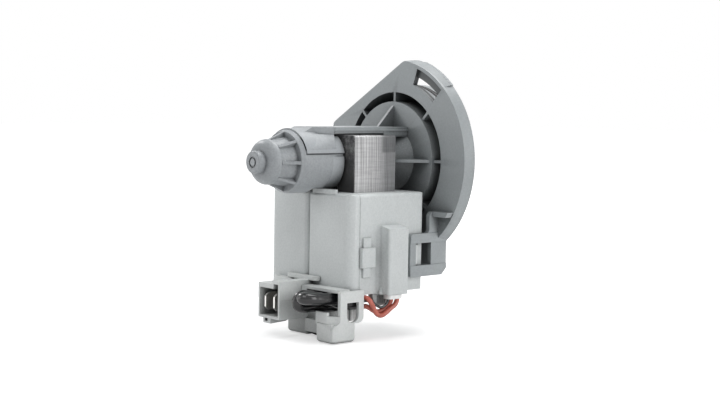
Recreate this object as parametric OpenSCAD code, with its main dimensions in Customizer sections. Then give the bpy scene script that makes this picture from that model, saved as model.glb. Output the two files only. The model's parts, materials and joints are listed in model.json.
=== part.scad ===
// Drain pump of a dishwasher: wet-rotor motor, ribbed flange and free-swinging impeller.
// Origin: centre of the flange's front mating face, on the motor axis.
// +Y points out of the flange towards the sump, +Z is up. Lengths in millimetres.

/* [Flange] */
// Radius of the flange at its motor side
flange_r = 37.5; // [36.5:0.5:40]
// Growth of the rim's radius towards the front face
rim_draft = 0.9; // [0.3:0.1:1.2]
// Thickness of the flange
flange_t = 4.5; // [4:0.25:5.5]
// Distance of the flange's flat edge from the axis
flat_d = 29.5; // [29:0.5:32]
// Direction of the flat edge, from +X towards +Z
flat_a = 121; // [110:1:130]
// Radius of the two corners beside the flat edge
flat_corner_r = 8; // [4:0.5:10]
// Inner radius of the bayonet pocket
slot_r = 30; // [29.6:0.2:31]
// Radial width of the bayonet pocket
slot_w = 6.2; // [4:0.2:6.4]
// Angle where the bayonet pocket starts
slot_a = 46.7; // [30:0.1:60]
// Angle that the bayonet pocket spans
slot_span = 23.9; // [15:0.1:30]
// Depth of the bayonet pocket, from the motor side
slot_depth = 1.3; // [1:0.1:1.6]
// Depth of the relief round the slot, from the front face
relief_d = 2.4; // [1.5:0.1:2.6]
// Radial width of the slit in the pocket's floor
slit_w = 3; // [1.6:0.1:3.4]
// Height of the lug on the rim
lug_h = 0.4; // [0.3:0.1:1]
// Width of the lug along the axis
lug_w = 1.2; // [1:0.1:3]

/* [Disc and collar] */
// Radius of the disc inside the ribbed groove
disc_r = 21.8; // [20.5:0.1:22.5]
// How far the disc stands proud of the flange
disc_proud = 0.9; // [0.3:0.1:1.5]
// Thickness of the disc
disc_t = 2.8; // [2.4:0.1:3.4]
// Width of the ribbed groove
groove_w = 3.6; // [2.5:0.1:4]
// Number of ribs that cross the groove
groove_ribs = 8; // [6:1:12]
// Thickness of each groove rib
groove_rib_t = 1; // [0.6:0.1:1.6]
// Width of the rim of the disc that stays outside the gussets
gusset_in = 1.5; // [1:0.1:3]
// Length of the gussets along the can
gusset_l = 12; // [8:0.5:12.5]
// Thickness of the gussets
gusset_t = 1.2; // [0.8:0.1:2]
// Radius of the cone where the can leaves the disc
boss_r = 12; // [11:0.25:14]
// Length of that cone
boss_l = 6.6; // [4:0.2:9]
// Height of the collar in front of the flange
collar_h = 9; // [8:0.5:11]
// Wall of the collar
collar_wall = 3; // [2.6:0.1:3.2]
// Thickness of the collar's front wall
collar_floor = 2.4; // [1.6:0.1:3]
// Wall between the groove and the impeller recess
recess_wall = 2; // [1.4:0.1:2.4]
// Thickness of the sealing ring's cord
ring_d = 2.6; // [2:0.1:3]
// Depth of the sealing ring's groove in the collar
ring_seat_d = 1.4; // [1:0.1:1.6]
// Distance of the sealing ring from the flange
ring_y = 3.6; // [3:0.1:4]

/* [Can] */
// Outer radius of the rotor can
can_r = 8; // [7.8:0.1:8.6]
// Wall of the rotor can
can_wall = 1.2; // [0.8:0.1:1.4]
// Length of the can behind the stack
can_tail = 17.4; // [16:0.2:19]
// Thickness of the can's closed end
can_end_t = 1.5; // [1:0.1:2]
// Radius of the seat in front of the can, for the bearing carrier
carrier_r = 13; // [12.6:0.1:14]
// Depth of that seat
carrier_t = 1.6; // [1.2:0.1:1.8]

/* [Top plate] */
// Width of the plate over the stack
plate_w = 17.6; // [14:0.2:20]
// Thickness of the plate
plate_t = 2.2; // [1.8:0.1:3]
// Gap between the plate and the stack
plate_gap = 0.6; // [0.3:0.1:1]
// How far the plate reaches past the stack's rear
plate_over = 4.3; // [2:0.1:5]
// How far the bead on the plate's edge stands out
plate_bead = 0.4; // [0.2:0.1:0.8]
// Depth of the rib under the plate, in front of the stack
plate_rib_d = 1.6; // [1:0.1:2.5]

/* [Side arms] */
// Thickness of the arms that hold the coil housing
arm_t = 1.75; // [1.4:0.05:2.2]
// Length of the arms behind the flange's front face
arm_l = 18.4; // [17.4:0.2:20]
// Height of the arm's top edge, below the axis
arm_top = 26; // [25:0.25:27]
// Height of the arm
arm_h = 15.8; // [14.8:0.2:17]
// Width of the neck between the arm and the flange
neck_w = 8.9; // [8.4:0.1:12]
// Height of the neck's top edge, below the axis
neck_top = 18.2; // [17:0.2:20]
// Length of the latch window in the arm
window_l = 7.7; // [6.8:0.1:8]
// Height of the latch window in the arm
window_h = 8.2; // [7.8:0.1:9]
// Strip of the arm behind the latch window
window_back = 2.8; // [2.4:0.1:3.2]
// Strip of the arm below the latch window
window_low = 4.1; // [3.6:0.1:4.6]
// Height of the raised bands on the arm
band_h = 0.25; // [0.1:0.05:0.5]
// Chamfer at the arm's lower front corner
arm_chamfer = 2.5; // [1:0.1:4]
// Thickness of the ledge between the neck and the rim
ledge_t = 1.9; // [1.2:0.1:2.5]
// How far the ledge stands out of the flange
ledge_d = 3; // [2:0.1:4]
// Thickness of the wall that ties both arms
tie_t = 1.5; // [1:0.1:2]

/* [Rear cap] */
// Radius of the cap's body
cap_r = 11.4; // [11:0.1:12]
// Length of the cap's body
cap_l = 20.1; // [19:0.1:22]
// Rounding of the cap's front end
cap_round = 6; // [4:0.25:7]
// Length of the ribbed cone
cone_l = 6.6; // [5:0.1:8]
// Radius of the cone at the body
cone_r = 8.9; // [8.6:0.1:10]
// Radius of the ribs where they meet the body
rib_r = 10.7; // [10:0.1:11]
// Length of the chamfer on the body's rear edge
rib_chamfer = 1.8; // [1:0.1:2.4]
// Step between the domed nose and the cone
nose_step = 0.4; // [0.2:0.1:0.8]
// Radius of the domed nose
nose_r = 8.1; // [7.6:0.1:8.5]
// Length of the domed nose
nose_l = 3.8; // [3:0.1:5]
// Rounding of the domed nose
nose_round = 3.2; // [2:0.1:3.6]
// Radius of the button on the nose
button_r = 4; // [3:0.1:4.5]
// Length of the button
button_l = 3; // [2:0.1:4]
// Number of ribs on the cone
cap_ribs = 8; // [6:1:12]
// Thickness of the cone's ribs
cap_rib_t = 1.2; // [0.8:0.1:1.8]
// Height of the cut that clears the housing, below the axis
cap_cut = 9.3; // [8.8:0.1:9.4]
// Length of that cut
cap_cut_l = 11.3; // [10:0.1:13]

/* [Saddle] */
// How far the saddle stands proud of the cap
saddle_proud = 0.5; // [0.2:0.1:0.8]
// Thickness of the saddle
saddle_t = 1.5; // [1.2:0.1:1.8]
// Angle where the saddle starts
saddle_a = 20; // [10:1:40]
// Length of the saddle
saddle_l = 15.6; // [12:0.1:17]
// Angle of the channel below the saddle's edge
saddle_channel = 6; // [3:0.5:8]
// Width of the block on the saddle, at its rear
block_w = 10.6; // [8:0.2:12]
// Width of the block at the top plate
block_front_w = 18.8; // [16:0.2:20]
// Height of the block's top above the axis
block_z = 12.4; // [12.2:0.1:13.5]
// Length of the block's flat top
block_l = 6.5; // [4:0.1:8]
// Length of the block's ramp
ramp_l = 5.3; // [2:0.1:6]
// Drop of the block's ramp
ramp_drop = 2.4; // [0.8:0.1:2.6]
// Height of the saddle's shoulders at the top plate, above the axis
shoulder_z = 9.8; // [8.5:0.1:10.5]

/* [Stator] */
// Thickness of the lamination stack
stack_t = 20.2; // [18:0.2:22]
// Width of the lamination stack
stack_w = 30.6; // [29:0.2:32]
// Height of the stack's top above the axis
stack_top = 9.6; // [9.4:0.1:10.4]
// Distance from the flange to the stack
stack_gap = 13.4; // [13.2:0.1:15]
// Width of each leg of the core
leg_w = 8.8; // [7.5:0.1:9]
// Thickness of the yoke bar
yoke_t = 7; // [6:0.1:7.4]
// Rounding of the stack's upper corners
stack_corner_r = 1; // [0.5:0.1:2]

/* [Coil housing] */
// Width of the coil housing
housing_w = 45.6; // [44.8:0.1:46.4]
// Height of the coil housing
housing_h = 35.8; // [34.8:0.2:37]
// Height of the housing's top, below the axis
housing_top = 10.9; // [10.4:0.1:11.2]
// How far the housing reaches past the stack, front and rear
housing_over = 8; // [7.4:0.1:8.4]
// Wall of the coil housing
housing_wall = 1.2; // [0.8:0.1:1.4]
// Rounding of the housing's upright corners
housing_corner_r = 4; // [2.5:0.25:5]
// Rounding of the housing's top edges
housing_edge_r = 1.6; // [0.8:0.1:2.4]
// Depth of the rear covers
cover_l = 4.6; // [4.2:0.1:5.5]
// Gap between the two rear covers
cover_gap = 0.4; // [0.2:0.1:1]
// Rounding of the far cover's edge at the gap
cover_far_r = 2.4; // [1:0.1:3]
// Rounding of the near cover's edge at the gap
cover_near_r = 0.9; // [0.4:0.1:1.5]
// Height of the bar on the near cover
bar_h = 1.3; // [0.6:0.1:1.3]
// Length of the bar on the near cover
bar_l = 12.5; // [8:0.5:16]
// Depth of the bar on the near cover
bar_d = 1.3; // [0.8:0.1:2]

/* [Coils] */
// Wall of the coil formers
former_wall = 1; // [0.7:0.1:1.2]
// Thickness of the winding
winding_t = 4.4; // [3.5:0.1:4.6]
// Rounding of the winding's corners
winding_r = 3; // [1.5:0.1:4]

/* [Thermal pocket] */
// How far the pocket stands out of the housing
pocket_d = 5.5; // [5:0.1:7]
// Width of the pocket
pocket_w = 9.6; // [8.5:0.1:11]
// Height of the pocket's outer face
pocket_h = 23.4; // [20:0.2:24]
// Extra height of the pocket's sloped top
pocket_slope = 1.1; // [0.5:0.1:2]
// Distance from the housing's front to the pocket
pocket_y = 12.6; // [12:0.1:13.6]
// Wall of the pocket
pocket_wall = 1; // [0.7:0.1:1.3]
// Rounding of the pocket's outer corners
pocket_r = 0.8; // [0.3:0.1:1.5]
// Fillet between the pocket's rear face and the housing
pocket_fillet = 1.4; // [0.6:0.1:2]
// Radius of the grooved stop under the housing's near edge
stop_r = 4; // [3.4:0.1:4.4]
// Distance between the stop's grooves
stop_pitch = 0.9; // [0.8:0.05:1.2]
// Height of the nub on the pocket's rear face
nub_h = 2.5; // [1.5:0.1:3]

/* [Latches] */
// Distance of the cross latch's axis from the housing's rear face
cross_y = 7.7; // [7.2:0.1:8.5]
// Height of the cross latch's bar
cross_bar_h = 14.2; // [12:0.2:16]
// Width of the cross latch's bar
cross_bar_w = 3.7; // [3:0.1:4.5]
// How far the cross latch's bar stands out
cross_bar_d = 0.8; // [0.4:0.1:1]
// Height of the cross latch's block
cross_block_h = 7.1; // [5:0.1:8]
// Width of the cross latch's block
cross_block_w = 6.8; // [5:0.1:7]
// How far the cross latch's block stands out
cross_block_d = 1.5; // [1.1:0.1:2]
// Drop of the cross latch's middle below the housing's top
cross_drop = 22.5; // [20:0.5:25]
// Length of the snap tooth that the arm's window holds
tooth_l = 2.8; // [2:0.1:4]
// Height of the snap tooth
tooth_h = 7; // [5:0.1:7.4]
// How far the snap tooth stands out
tooth_d = 1.5; // [1:0.1:1.7]

/* [Terminal carrier] */
// Width of the connector
plug_w = 12.3; // [11.9:0.1:13]
// Height of the connector
plug_h = 12.6; // [12:0.1:13.4]
// Wall of the connector
plug_wall = 0.95; // [0.8:0.05:1.2]
// Thickness of the connector's top wall
plug_top = 1.7; // [1.4:0.1:2.2]
// Rise of the connector's roof over the keyway
key_rise = 1.1; // [0.8:0.1:1.4]
// Width of the keyway in the top wall
key_w = 2.6; // [2:0.1:3.2]
// Draft step at the parting line on the connector's side
parting = 0.12; // [0.05:0.01:0.2]
// Distance from the housing's rear face to the connector's mouth
plug_reach = 15.6; // [14.6:0.2:17]
// Depth of the connector's cavity
plug_depth = 9.5; // [8.5:0.5:10.5]
// Connector's side towards the protector, from the middle plane
plug_x = 3.3; // [2.8:0.1:3.6]
// How far the connector's bottom lies below the housing's bottom
plug_low = 9.6; // [9.2:0.1:10.4]
// Width of the rail under the connector
rail_w = 4.3; // [3:0.1:4.6]
// Height of the rail under the connector
rail_h = 1.8; // [1.6:0.1:2.4]
// Thickness of the plate behind the connector
deck_t = 1.5; // [1.2:0.1:2]
// Height of that plate's top above the connector's roof
deck_rise = 2.4; // [2:0.1:2.8]
// Step down to the far part of that plate
deck_step = 1.7; // [1:0.1:2]
// Thickness of the shelf over the leads
shelf_t = 1.1; // [0.9:0.1:1.6]
// Reach of the shelf behind the housing
shelf_reach = 5.6; // [5.2:0.1:7]
// Thickness of the clip plate
clip_t = 1.35; // [1.2:0.05:1.6]
// Width of the clip plate
clip_w = 11; // [10.5:0.1:12]
// Height of the clip plate
clip_h = 11.5; // [11:0.1:12.5]
// Rounding of the clip plate's lower corner
clip_r = 2.4; // [1.5:0.1:3]
// Height of the clip plate's head
clip_head = 4.1; // [3.5:0.1:5]
// Width of the clip's window
clip_window_w = 5.4; // [5:0.1:6]
// Height of the clip's window
clip_window_h = 7; // [6.4:0.1:7.1]
// Width of the clip's leg towards the connector
clip_leg = 3.2; // [3:0.1:3.6]
// Width of the near foot
foot_w = 9.2; // [9:0.1:10]
// Depth of the near foot
foot_d = 10.2; // [9.8:0.1:11]
// Height of the near foot
foot_h = 6.8; // [6:0.1:8]
// Height of the wall that stands on the near foot's rear edge
rear_wall_h = 4; // [3:0.1:4.4]
// Thickness of that wall
rear_wall_t = 1.2; // [1:0.1:1.6]
// Length of the guide wall behind the clip
guide_l = 18; // [16:0.5:19]
// Depth of the far foot
far_foot_d = 6.4; // [5:0.1:7]
// Rounding of the feet's edges
foot_r = 0.9; // [0.3:0.1:1.5]
// Thickness of the tabs
tab_t = 0.8; // [0.6:0.1:1]
// Width of the tabs
tab_w = 6.3; // [4.8:0.1:6.6]
// Distance between the two tabs
tab_pitch = 5; // [4.6:0.1:5.4]
// How far the tabs end inside the connector's mouth
tab_recess = 0.8; // [0.5:0.1:2]
// Chamfer of the tabs' tips
tab_chamfer = 1.2; // [0.6:0.1:1.8]

/* [Leads] */
// Diameter of the near black sleeve
near_sleeve_d = 4.2; // [3.4:0.1:4.3]
// Diameter of the far black sleeve
far_sleeve_d = 3.6; // [3:0.1:3.8]
// Diameter of the red leads
lead_d = 1.5; // [1.2:0.1:1.6]
// Diameter of the thin black lead
thin_d = 0.8; // [0.6:0.1:0.9]

/* [Rotor] */
// Radius of the shaft
shaft_r = 1.5; // [1.25:0.05:1.75]
// Radius of the magnet
magnet_r = 6.3; // [5.5:0.1:6.5]
// How far the magnet reaches past the stack at each end
magnet_over = 2.5; // [1:0.1:2.8]
// Radius of the sleeve between the shaft and the magnet
hub_r = 2.6; // [2.2:0.1:3.2]
// How far that sleeve reaches past the magnet at each end
hub_over = 1.6; // [1:0.1:1.7]
// Radius of the bearings
bearing_r = 3.6; // [3.2:0.1:3.8]
// Length of the bearings
bearing_l = 6; // [5:0.1:6.4]
// Radius of the rubber cups round the bearings
cup_r = 5; // [4.6:0.1:5.2]
// Thickness of the thrust washers
washer_t = 0.6; // [0.4:0.1:0.8]
// Radius of the thrust washers
washer_r = 3.4; // [3:0.1:3.8]

/* [Impeller] */
// Radius of the impeller
impeller_r = 18; // [16:0.5:18.6]
// Number of impeller vanes
vanes = 4; // [3:1:6]
// Thickness of the vanes
vane_t = 1.8; // [1.2:0.1:2.4]
// Length of the vanes along the axis
vane_l = 11; // [8:0.5:13]
// Thickness of the impeller's disc
impeller_disc_t = 1.2; // [0.8:0.1:2]
// Outer radius of the impeller's hub
impeller_hub_r = 7.4; // [7:0.1:8.4]
// Wall of the impeller's hub
impeller_hub_wall = 1.5; // [1.2:0.1:1.8]
// Length of the hub's cavity
cavity_l = 7; // [6:0.2:8]
// Length of the solid end of the hub
hub_nose_l = 5; // [4:0.2:6]
// Thickness of the lid that closes the hub
lid_t = 1; // [0.8:0.1:1.4]
// Radius of the driver's hub
dog_hub_r = 3; // [2.6:0.1:3.2]
// Angle of the driver's claw and of the impeller's claw
claw_a = 46; // [36:1:47]

/* [Fits] */
// Radial running clearance between the shaft and its bearings
run_gap = 0.04; // [0.02:0.01:0.08]
// Clearance of pieces that sit in each other
seat_gap = 0.1; // [0.05:0.01:0.15]
// Clearance along the axis between turning and fixed faces
end_gap = 0.3; // [0.2:0.05:0.4]
// Air gap between the can and the stack
bore_gap = 0.2; // [0.1:0.05:0.3]

/* [Hidden] */
$fn = 96;
cut = 1;
far = 60;

body_grey = [0.50, 0.52, 0.53];
cap_grey = [0.58, 0.60, 0.61];
housing_grey = [0.76, 0.78, 0.78];

// Places along the axis
motor_y = -flange_t;
disc_y = motor_y - disc_proud;
recess_y = disc_y + disc_t;
stack_front = motor_y - stack_gap;
stack_rear = stack_front - stack_t;
stack_mid = (stack_front + stack_rear) / 2;
housing_front = stack_front + housing_over;
housing_rear = stack_rear - housing_over;
can_rear = stack_rear - can_tail;
can_floor = can_rear + can_end_t;
plate_rear = stack_rear - plate_over;

// Flange and collar
groove_r = disc_r + groove_w;
collar_r = groove_r + collar_wall;
recess_r = disc_r - recess_wall;
groove_floor = collar_h - collar_floor;
can_bore = can_r - can_wall;
gusset_r = disc_r - gusset_in;

// Heights
plate_bottom = stack_top + plate_gap;
plate_top = plate_bottom + plate_t;
housing_bottom = -housing_top - housing_h;
plug_bottom = housing_bottom - plug_low;
plug_roof = plug_bottom + plug_h;
shelf_top = plug_roof - 0.5;
deck_top = plug_roof + deck_rise;

// Housing and what it holds
half_w = housing_w / 2;
cover_front = housing_rear + cover_l;
arm_in = half_w + seat_gap;
arm_out = arm_in + arm_t;
leg_out = stack_w / 2;
leg_in = leg_out - leg_w;
former_out = leg_out + seat_gap + former_wall;
former_in = leg_in - seat_gap - former_wall;
yoke_bottom = housing_bottom + housing_wall + 2 * former_wall;
leg_bottom = yoke_bottom + yoke_t;
former_top = -housing_top - housing_wall - seat_gap;
former_bottom = leg_bottom + seat_gap;
former_rim = min(winding_t, former_in - cover_gap / 2 - housing_wall - seat_gap);

// Window in the arm and the tooth that it holds
window_y = -arm_l + window_back;
window_z = -arm_top - arm_h + window_low;

// Rear cap, from its front end backwards
cap_front = stack_rear - end_gap;
cap_back = cap_front - cap_l;
nose_y = cap_back - cone_l;
nose_end = nose_y - nose_l;
button_end = nose_end - button_l;
saddle_r = cap_r + saddle_proud;
saddle_in = saddle_r - saddle_t;
saddle_rear = cap_back + 2;
saddle_front = saddle_rear + saddle_l;
block_front = plate_rear - end_gap;
round_r = cap_r - cap_round;
round_y = cap_front - cap_round;

// Pocket of the thermal protector
pocket_front = housing_front - pocket_y;
pocket_rear = pocket_front - pocket_w;
pocket_out = half_w + pocket_d;
pocket_top = housing_bottom + pocket_h;

// Terminal carrier
plug_far = plug_x - plug_w;
plug_mouth = housing_rear - plug_reach;
plug_floor = plug_mouth + plug_depth;
clip_in = half_w + seat_gap;
clip_out = clip_in + clip_t;
clip_rear = housing_rear - 5.2;
clip_front = clip_rear + clip_w;
clip_top = shelf_top - 0.5;
clip_low = clip_top - clip_h;
clip_window_top = clip_top - clip_head;
foot_top = clip_low + 0.2;
foot_bottom = foot_top - foot_h;
foot_rear = clip_rear - 3.4;
foot_front = foot_rear + foot_d;
foot_in = clip_out - foot_w;
rear_wall_top = foot_top + rear_wall_h;
far_foot_rear = housing_rear - 2.3;
far_foot_x = plug_far + 0.2;
tab_x = [plug_far + 3.1, plug_far + 3.1 + tab_pitch];
tab_z = plug_bottom + plug_wall + 1.7;
tab_tip = plug_mouth + tab_recess;

// Rotor
magnet_front = stack_front + magnet_over;
magnet_rear = stack_rear - magnet_over;
hub_front = magnet_front + hub_over;
hub_rear = magnet_rear - hub_over;
carrier_y = recess_y - carrier_t;
carrier_tube_r = can_bore - seat_gap;
front_bearing_y = hub_front + washer_t + 2 * end_gap;
rear_bearing_y = hub_rear - washer_t - 2 * end_gap;
cup_lip = 0.6;
shaft_rear = rear_bearing_y - bearing_l - 1;
lid_y = recess_y + carrier_t + end_gap;
dog_y = lid_y + lid_t + end_gap;
cavity_end = lid_y + lid_t + cavity_l;
hub_end = cavity_end + hub_nose_l;
shaft_front = hub_end - 1.2;
cavity_r = impeller_hub_r - impeller_hub_wall;
claw_r = cavity_r - end_gap;

// Rectangle with its own radius at each corner: low-left, low-right, high-right, high-left
module corner_rect(x0, x1, y0, y1, r) {
    places = [[x0, y0, 1, 1], [x1, y0, -1, 1], [x1, y1, -1, -1], [x0, y1, 1, -1]];
    difference() {
        translate([x0, y0]) square([x1 - x0, y1 - y0]);
        for (i = [0:3]) if (r[i] > 0) translate([places[i][0], places[i][1]])
            mirror([places[i][2] < 0 ? 1 : 0, 0]) mirror([0, places[i][3] < 0 ? 1 : 0])
            difference() {
                translate([-cut, -cut]) square([r[i] + cut, r[i] + cut]);
                translate([r[i], r[i]]) circle(r[i]);
            }
    }
}

// Profile in X and Z, drawn out along Y
module along(y0, y1) {
    translate([0, y1, 0]) rotate([90, 0, 0]) linear_extrude(y1 - y0) children();
}

// Profile in Y and Z, drawn out along X
module across(x0, x1) {
    translate([x0, 0, 0]) rotate([90, 0, 90]) linear_extrude(x1 - x0) children();
}

// Profile in X and Y, drawn out along Z
module upright(z0, z1) {
    translate([0, 0, z0]) linear_extrude(z1 - z0) children();
}

// Profile of radius and Y, turned about the axis
module turned() {
    rotate([-90, 0, 0]) rotate_extrude() children();
}

// Ring or disc about the axis
module ring(r0, r1, y0, y1) {
    turned() translate([r0, y0]) square([r1 - r0, y1 - y0]);
}

// Box between two corners
module box(x0, x1, y0, y1, z0, z1) {
    translate([x0, y0, z0]) cube([x1 - x0, y1 - y0, z1 - z0]);
}

// Turn from +X towards +Z
module spin(a) {
    rotate([0, -a, 0]) children();
}

// Plate in the plane of the axis: radius along X, place along Y
module web(points, t) {
    translate([0, 0, -t / 2]) linear_extrude(t) polygon(points);
}

// Wedge of directions between two angles, in X and Z
module wedge(a0, a1, r) {
    steps = ceil((a1 - a0) / 30);
    polygon(concat([[0, 0]], [for (i = [0:steps])
        let (a = a0 + (a1 - a0) * i / steps) [r * cos(a), r * sin(a)]]));
}

// Both sides of the pump
module both_sides() {
    children();
    mirror([1, 0, 0]) children();
}

// Outline of the flange: a circle with one flat edge and two rounded corners
module flange_outline(r) {
    reach = r - flat_corner_r;
    off = flat_d - flat_corner_r;
    a = acos(off / reach);
    rotate(flat_a) {
        difference() {
            intersection() {
                circle(r);
                translate([-r, -r]) square([r + flat_d, 2 * r]);
            }
            for (s = [-1, 1]) translate([off, s * reach * sin(a)])
                polygon([[0, 0], [3 * flat_corner_r, 0],
                         [3 * flat_corner_r * cos(a), s * 3 * flat_corner_r * sin(a)]]);
        }
        for (s = [-1, 1]) translate([off, s * reach * sin(a)]) circle(flat_corner_r);
    }
}

// Band between two radii and two angles
module arc_band(r0, r1, a0, a1) {
    intersection() {
        difference() {
            circle(r1);
            circle(r0);
        }
        wedge(a0, a1, 2 * r1);
    }
}

module flange_plate() {
    intersection() {
        turned() polygon([[0, motor_y], [flange_r, motor_y], [flange_r + rim_draft, 0], [0, 0]]);
        along(motor_y, 0) flange_outline(flange_r + rim_draft);
    }
    intersection() {
        ring(flange_r - 1, flange_r + rim_draft + lug_h, -lug_w, 0);
        along(motor_y, 0) wedge(slot_a, slot_a + slot_span + 1.1, 2 * flange_r);
    }
}

// Pocket from the motor side, relief from the front and the slit between them
module bayonet_pocket() {
    along(motor_y - cut, motor_y + slot_depth)
        arc_band(slot_r, slot_r + slot_w, slot_a, slot_a + slot_span);
    along(motor_y + slot_depth / 2, cut)
        arc_band(slot_r + 0.1, slot_r + slit_w, slot_a + 0.2, slot_a + slot_span - 0.2);
    along(-relief_d, cut)
        arc_band(collar_r + 0.3, slot_r + slot_w + 0.4, slot_a - 8, slot_a + slot_span + 8);
}

module groove_ribs_set() {
    for (i = [0:groove_ribs - 1]) spin(i * 360 / groove_ribs)
        web([[disc_r - 1, disc_y], [groove_r + 1, motor_y],
             [groove_r + 1, groove_floor + cut], [disc_r - 1, groove_floor + cut]], groove_rib_t);
}

module gussets() {
    for (a = [0, 90, 180]) spin(a)
        web([[can_bore + can_wall / 2, disc_y + cut], [gusset_r, disc_y + cut], [gusset_r, disc_y],
             [can_r, disc_y - gusset_l], [can_bore + can_wall / 2, disc_y - gusset_l]], gusset_t);
}

module top_plate() {
    third = plate_t / 3;
    half = plate_w / 2;
    end_r = 1.6;
    for (step = [[0, plate_bead + 0.1], [1, 0], [2, plate_bead]])
        upright(plate_bottom + step[0] * third, plate_bottom + (step[0] + 1) * third)
            corner_rect(-half + step[1], half - step[1], plate_rear + step[1], disc_y + cut,
                        [end_r, end_r, 0, 0]);
    along(stack_front + end_gap, disc_y + cut)
        corner_rect(-half + plate_bead, half - plate_bead, plate_bottom - plate_rib_d,
                    plate_bottom + third, [1.2, 1.2, 0, 0]);
}

module arm_profile(window = true) {
    difference() {
        union() {
            corner_rect(-arm_l, 0, -arm_top - arm_h, -arm_top, [0.5, 0, 0, 1.4]);
            corner_rect(-neck_w, 0, -arm_top - cut, -neck_top, [0, 0, 0, 2]);
            translate([-neck_w - 1.2, -arm_top - cut]) difference() {
                square([1.2 + cut, 1.2 + cut]);
                translate([0, 1.2 + cut]) circle(1.2);
            }
        }
        if (window) translate([window_y, window_z]) square([window_l, window_h]);
        translate([0, -arm_top - arm_h]) rotate(45)
            square([arm_chamfer * sqrt(2), arm_chamfer * sqrt(2)], center = true);
    }
}

module side_arm() {
    across(arm_in, arm_out) arm_profile();
    across(arm_in + cut, arm_out + band_h) difference() {
        intersection() {
            arm_profile(false);
            translate([-arm_l, -arm_top - arm_h]) square([arm_l, arm_h]);
        }
        translate([-far, window_z]) square([2 * far, window_h]);
    }
    intersection() {
        box(arm_in, far, motor_y - ledge_d, motor_y + cut, -neck_top - ledge_t, -neck_top);
        along(-far, far) circle(flange_r - 0.4);
    }
}

module pump_body() {
    color(body_grey) difference() {
        union() {
            flange_plate();
            ring(0, collar_r, motor_y, collar_h);
            ring(0, disc_r, disc_y, motor_y + cut);
            gussets();
            turned() polygon([[0, disc_y + cut], [boss_r, disc_y + cut], [boss_r, disc_y],
                              [can_r, disc_y - boss_l], [0, disc_y - boss_l]]);
            ring(0, can_r, can_rear, disc_y);
            difference() {
                top_plate();
                ring(0, can_r - can_wall / 2, -far, 0);
            }
            both_sides() side_arm();
            box(-arm_in - cut / 2, arm_in + cut / 2, motor_y, motor_y + tie_t,
                -arm_top - arm_h + 1, -arm_top);
        }
        difference() {
            turned() corner_rect(disc_r, groove_r, motor_y - cut, groove_floor, [0, 0, 0.6, 0.6]);
            groove_ribs_set();
        }
        turned() corner_rect(0, recess_r, recess_y, collar_h + cut, [0, 1, 0, 0]);
        ring(0, carrier_r + seat_gap, carrier_y, recess_y + cut);
        ring(0, can_bore, rear_bearing_y + 0.6, recess_y);
        ring(0, cup_r + seat_gap, can_floor, recess_y);
        ring(9.6, 11.2, carrier_y - 1.2, carrier_y + cut);
        ring(collar_r - ring_seat_d, collar_r + cut, ring_y - ring_d / 2 - 0.15,
             ring_y + ring_d / 2 + 0.15);
        bayonet_pocket();
    }
}

module sealing_ring() {
    color([0.12, 0.12, 0.12]) turned()
        translate([collar_r - ring_seat_d + ring_d / 2 + seat_gap / 2, ring_y]) circle(ring_d / 2);
}

// Turned outline of the cap's outer shape
module cap_outline() {
    chamfer_y = cap_back + rib_chamfer;
    corner_rect(0, cap_r, chamfer_y, cap_front, [0, 0, cap_round, 0]);
    polygon([[0, cap_back], [rib_r, cap_back], [cap_r, chamfer_y], [0, chamfer_y + cut]]);
    polygon([[0, nose_y - cut], [nose_r - nose_step, nose_y - cut], [nose_r - nose_step, nose_y],
             [cone_r, cap_back + cut], [0, cap_back + cut]]);
    corner_rect(0, nose_r, nose_end, nose_y, [0, nose_round, 0, 0]);
    corner_rect(0, button_r, button_end, nose_end + cut, [0, 0.5, 0, 0]);
}

// Room that the top plate's rear end keeps free
module plate_room() {
    box(-plate_w / 2 - end_gap, plate_w / 2 + end_gap, plate_rear - end_gap, far,
        plate_bottom - end_gap, far);
}

module rear_cap() {
    color(cap_grey) difference() {
        union() {
            turned() cap_outline();
            for (i = [0:cap_ribs - 1]) spin(i * 360 / cap_ribs)
                web([[nose_r - 1.5, cap_back + cut], [rib_r - 0.1, cap_back + cut],
                     [rib_r - 0.1, cap_back], [nose_r - 0.1, nose_y + 0.2],
                     [nose_r - 1.5, nose_y + 0.2]], cap_rib_t);
        }
        ring(0, can_r + seat_gap, can_rear - 0.6, cap_front + cut);
        ring(0, cap_r - 1.6, saddle_rear + 1, cap_front - 4.5);
        ring(0, cone_r - 3, nose_y + 0.5, can_rear);
        intersection() {
            ring(saddle_in - seat_gap / 2, far, saddle_rear - seat_gap, far);
            along(-far, far) wedge(saddle_a - 0.3, 180.3 - saddle_a, far);
        }
        // Shallow channel below each lower edge of the saddle
        for (a = [saddle_a - saddle_channel, 180 - saddle_a]) intersection() {
            ring(cap_r - 0.4, far, saddle_rear - seat_gap, saddle_front - 1);
            along(-far, far) wedge(a, a + saddle_channel, far);
        }
        ring(1.3, 2, button_end - cut, button_end + 0.5);
        plate_room();
        box(-far, far, cap_front - cap_cut_l, far, -far, -cap_cut);
    }
}

// Block with a ramp at its rear, wider towards the top plate
module saddle_block() {
    ramp_y = block_front - block_l;
    rear = block_w / 2;
    front = block_front_w / 2;
    intersection() {
        across(-far, far)
            polygon([[block_front, shoulder_z - cut], [block_front, block_z], [ramp_y, block_z],
                     [ramp_y - ramp_l, block_z - ramp_drop], [ramp_y - ramp_l, shoulder_z - cut]]);
        upright(0, far)
            polygon([[-rear, -far], [rear, -far], [rear, ramp_y], [front, block_front],
                     [front, far], [-front, far], [-front, block_front], [-rear, ramp_y]]);
    }
}

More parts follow.
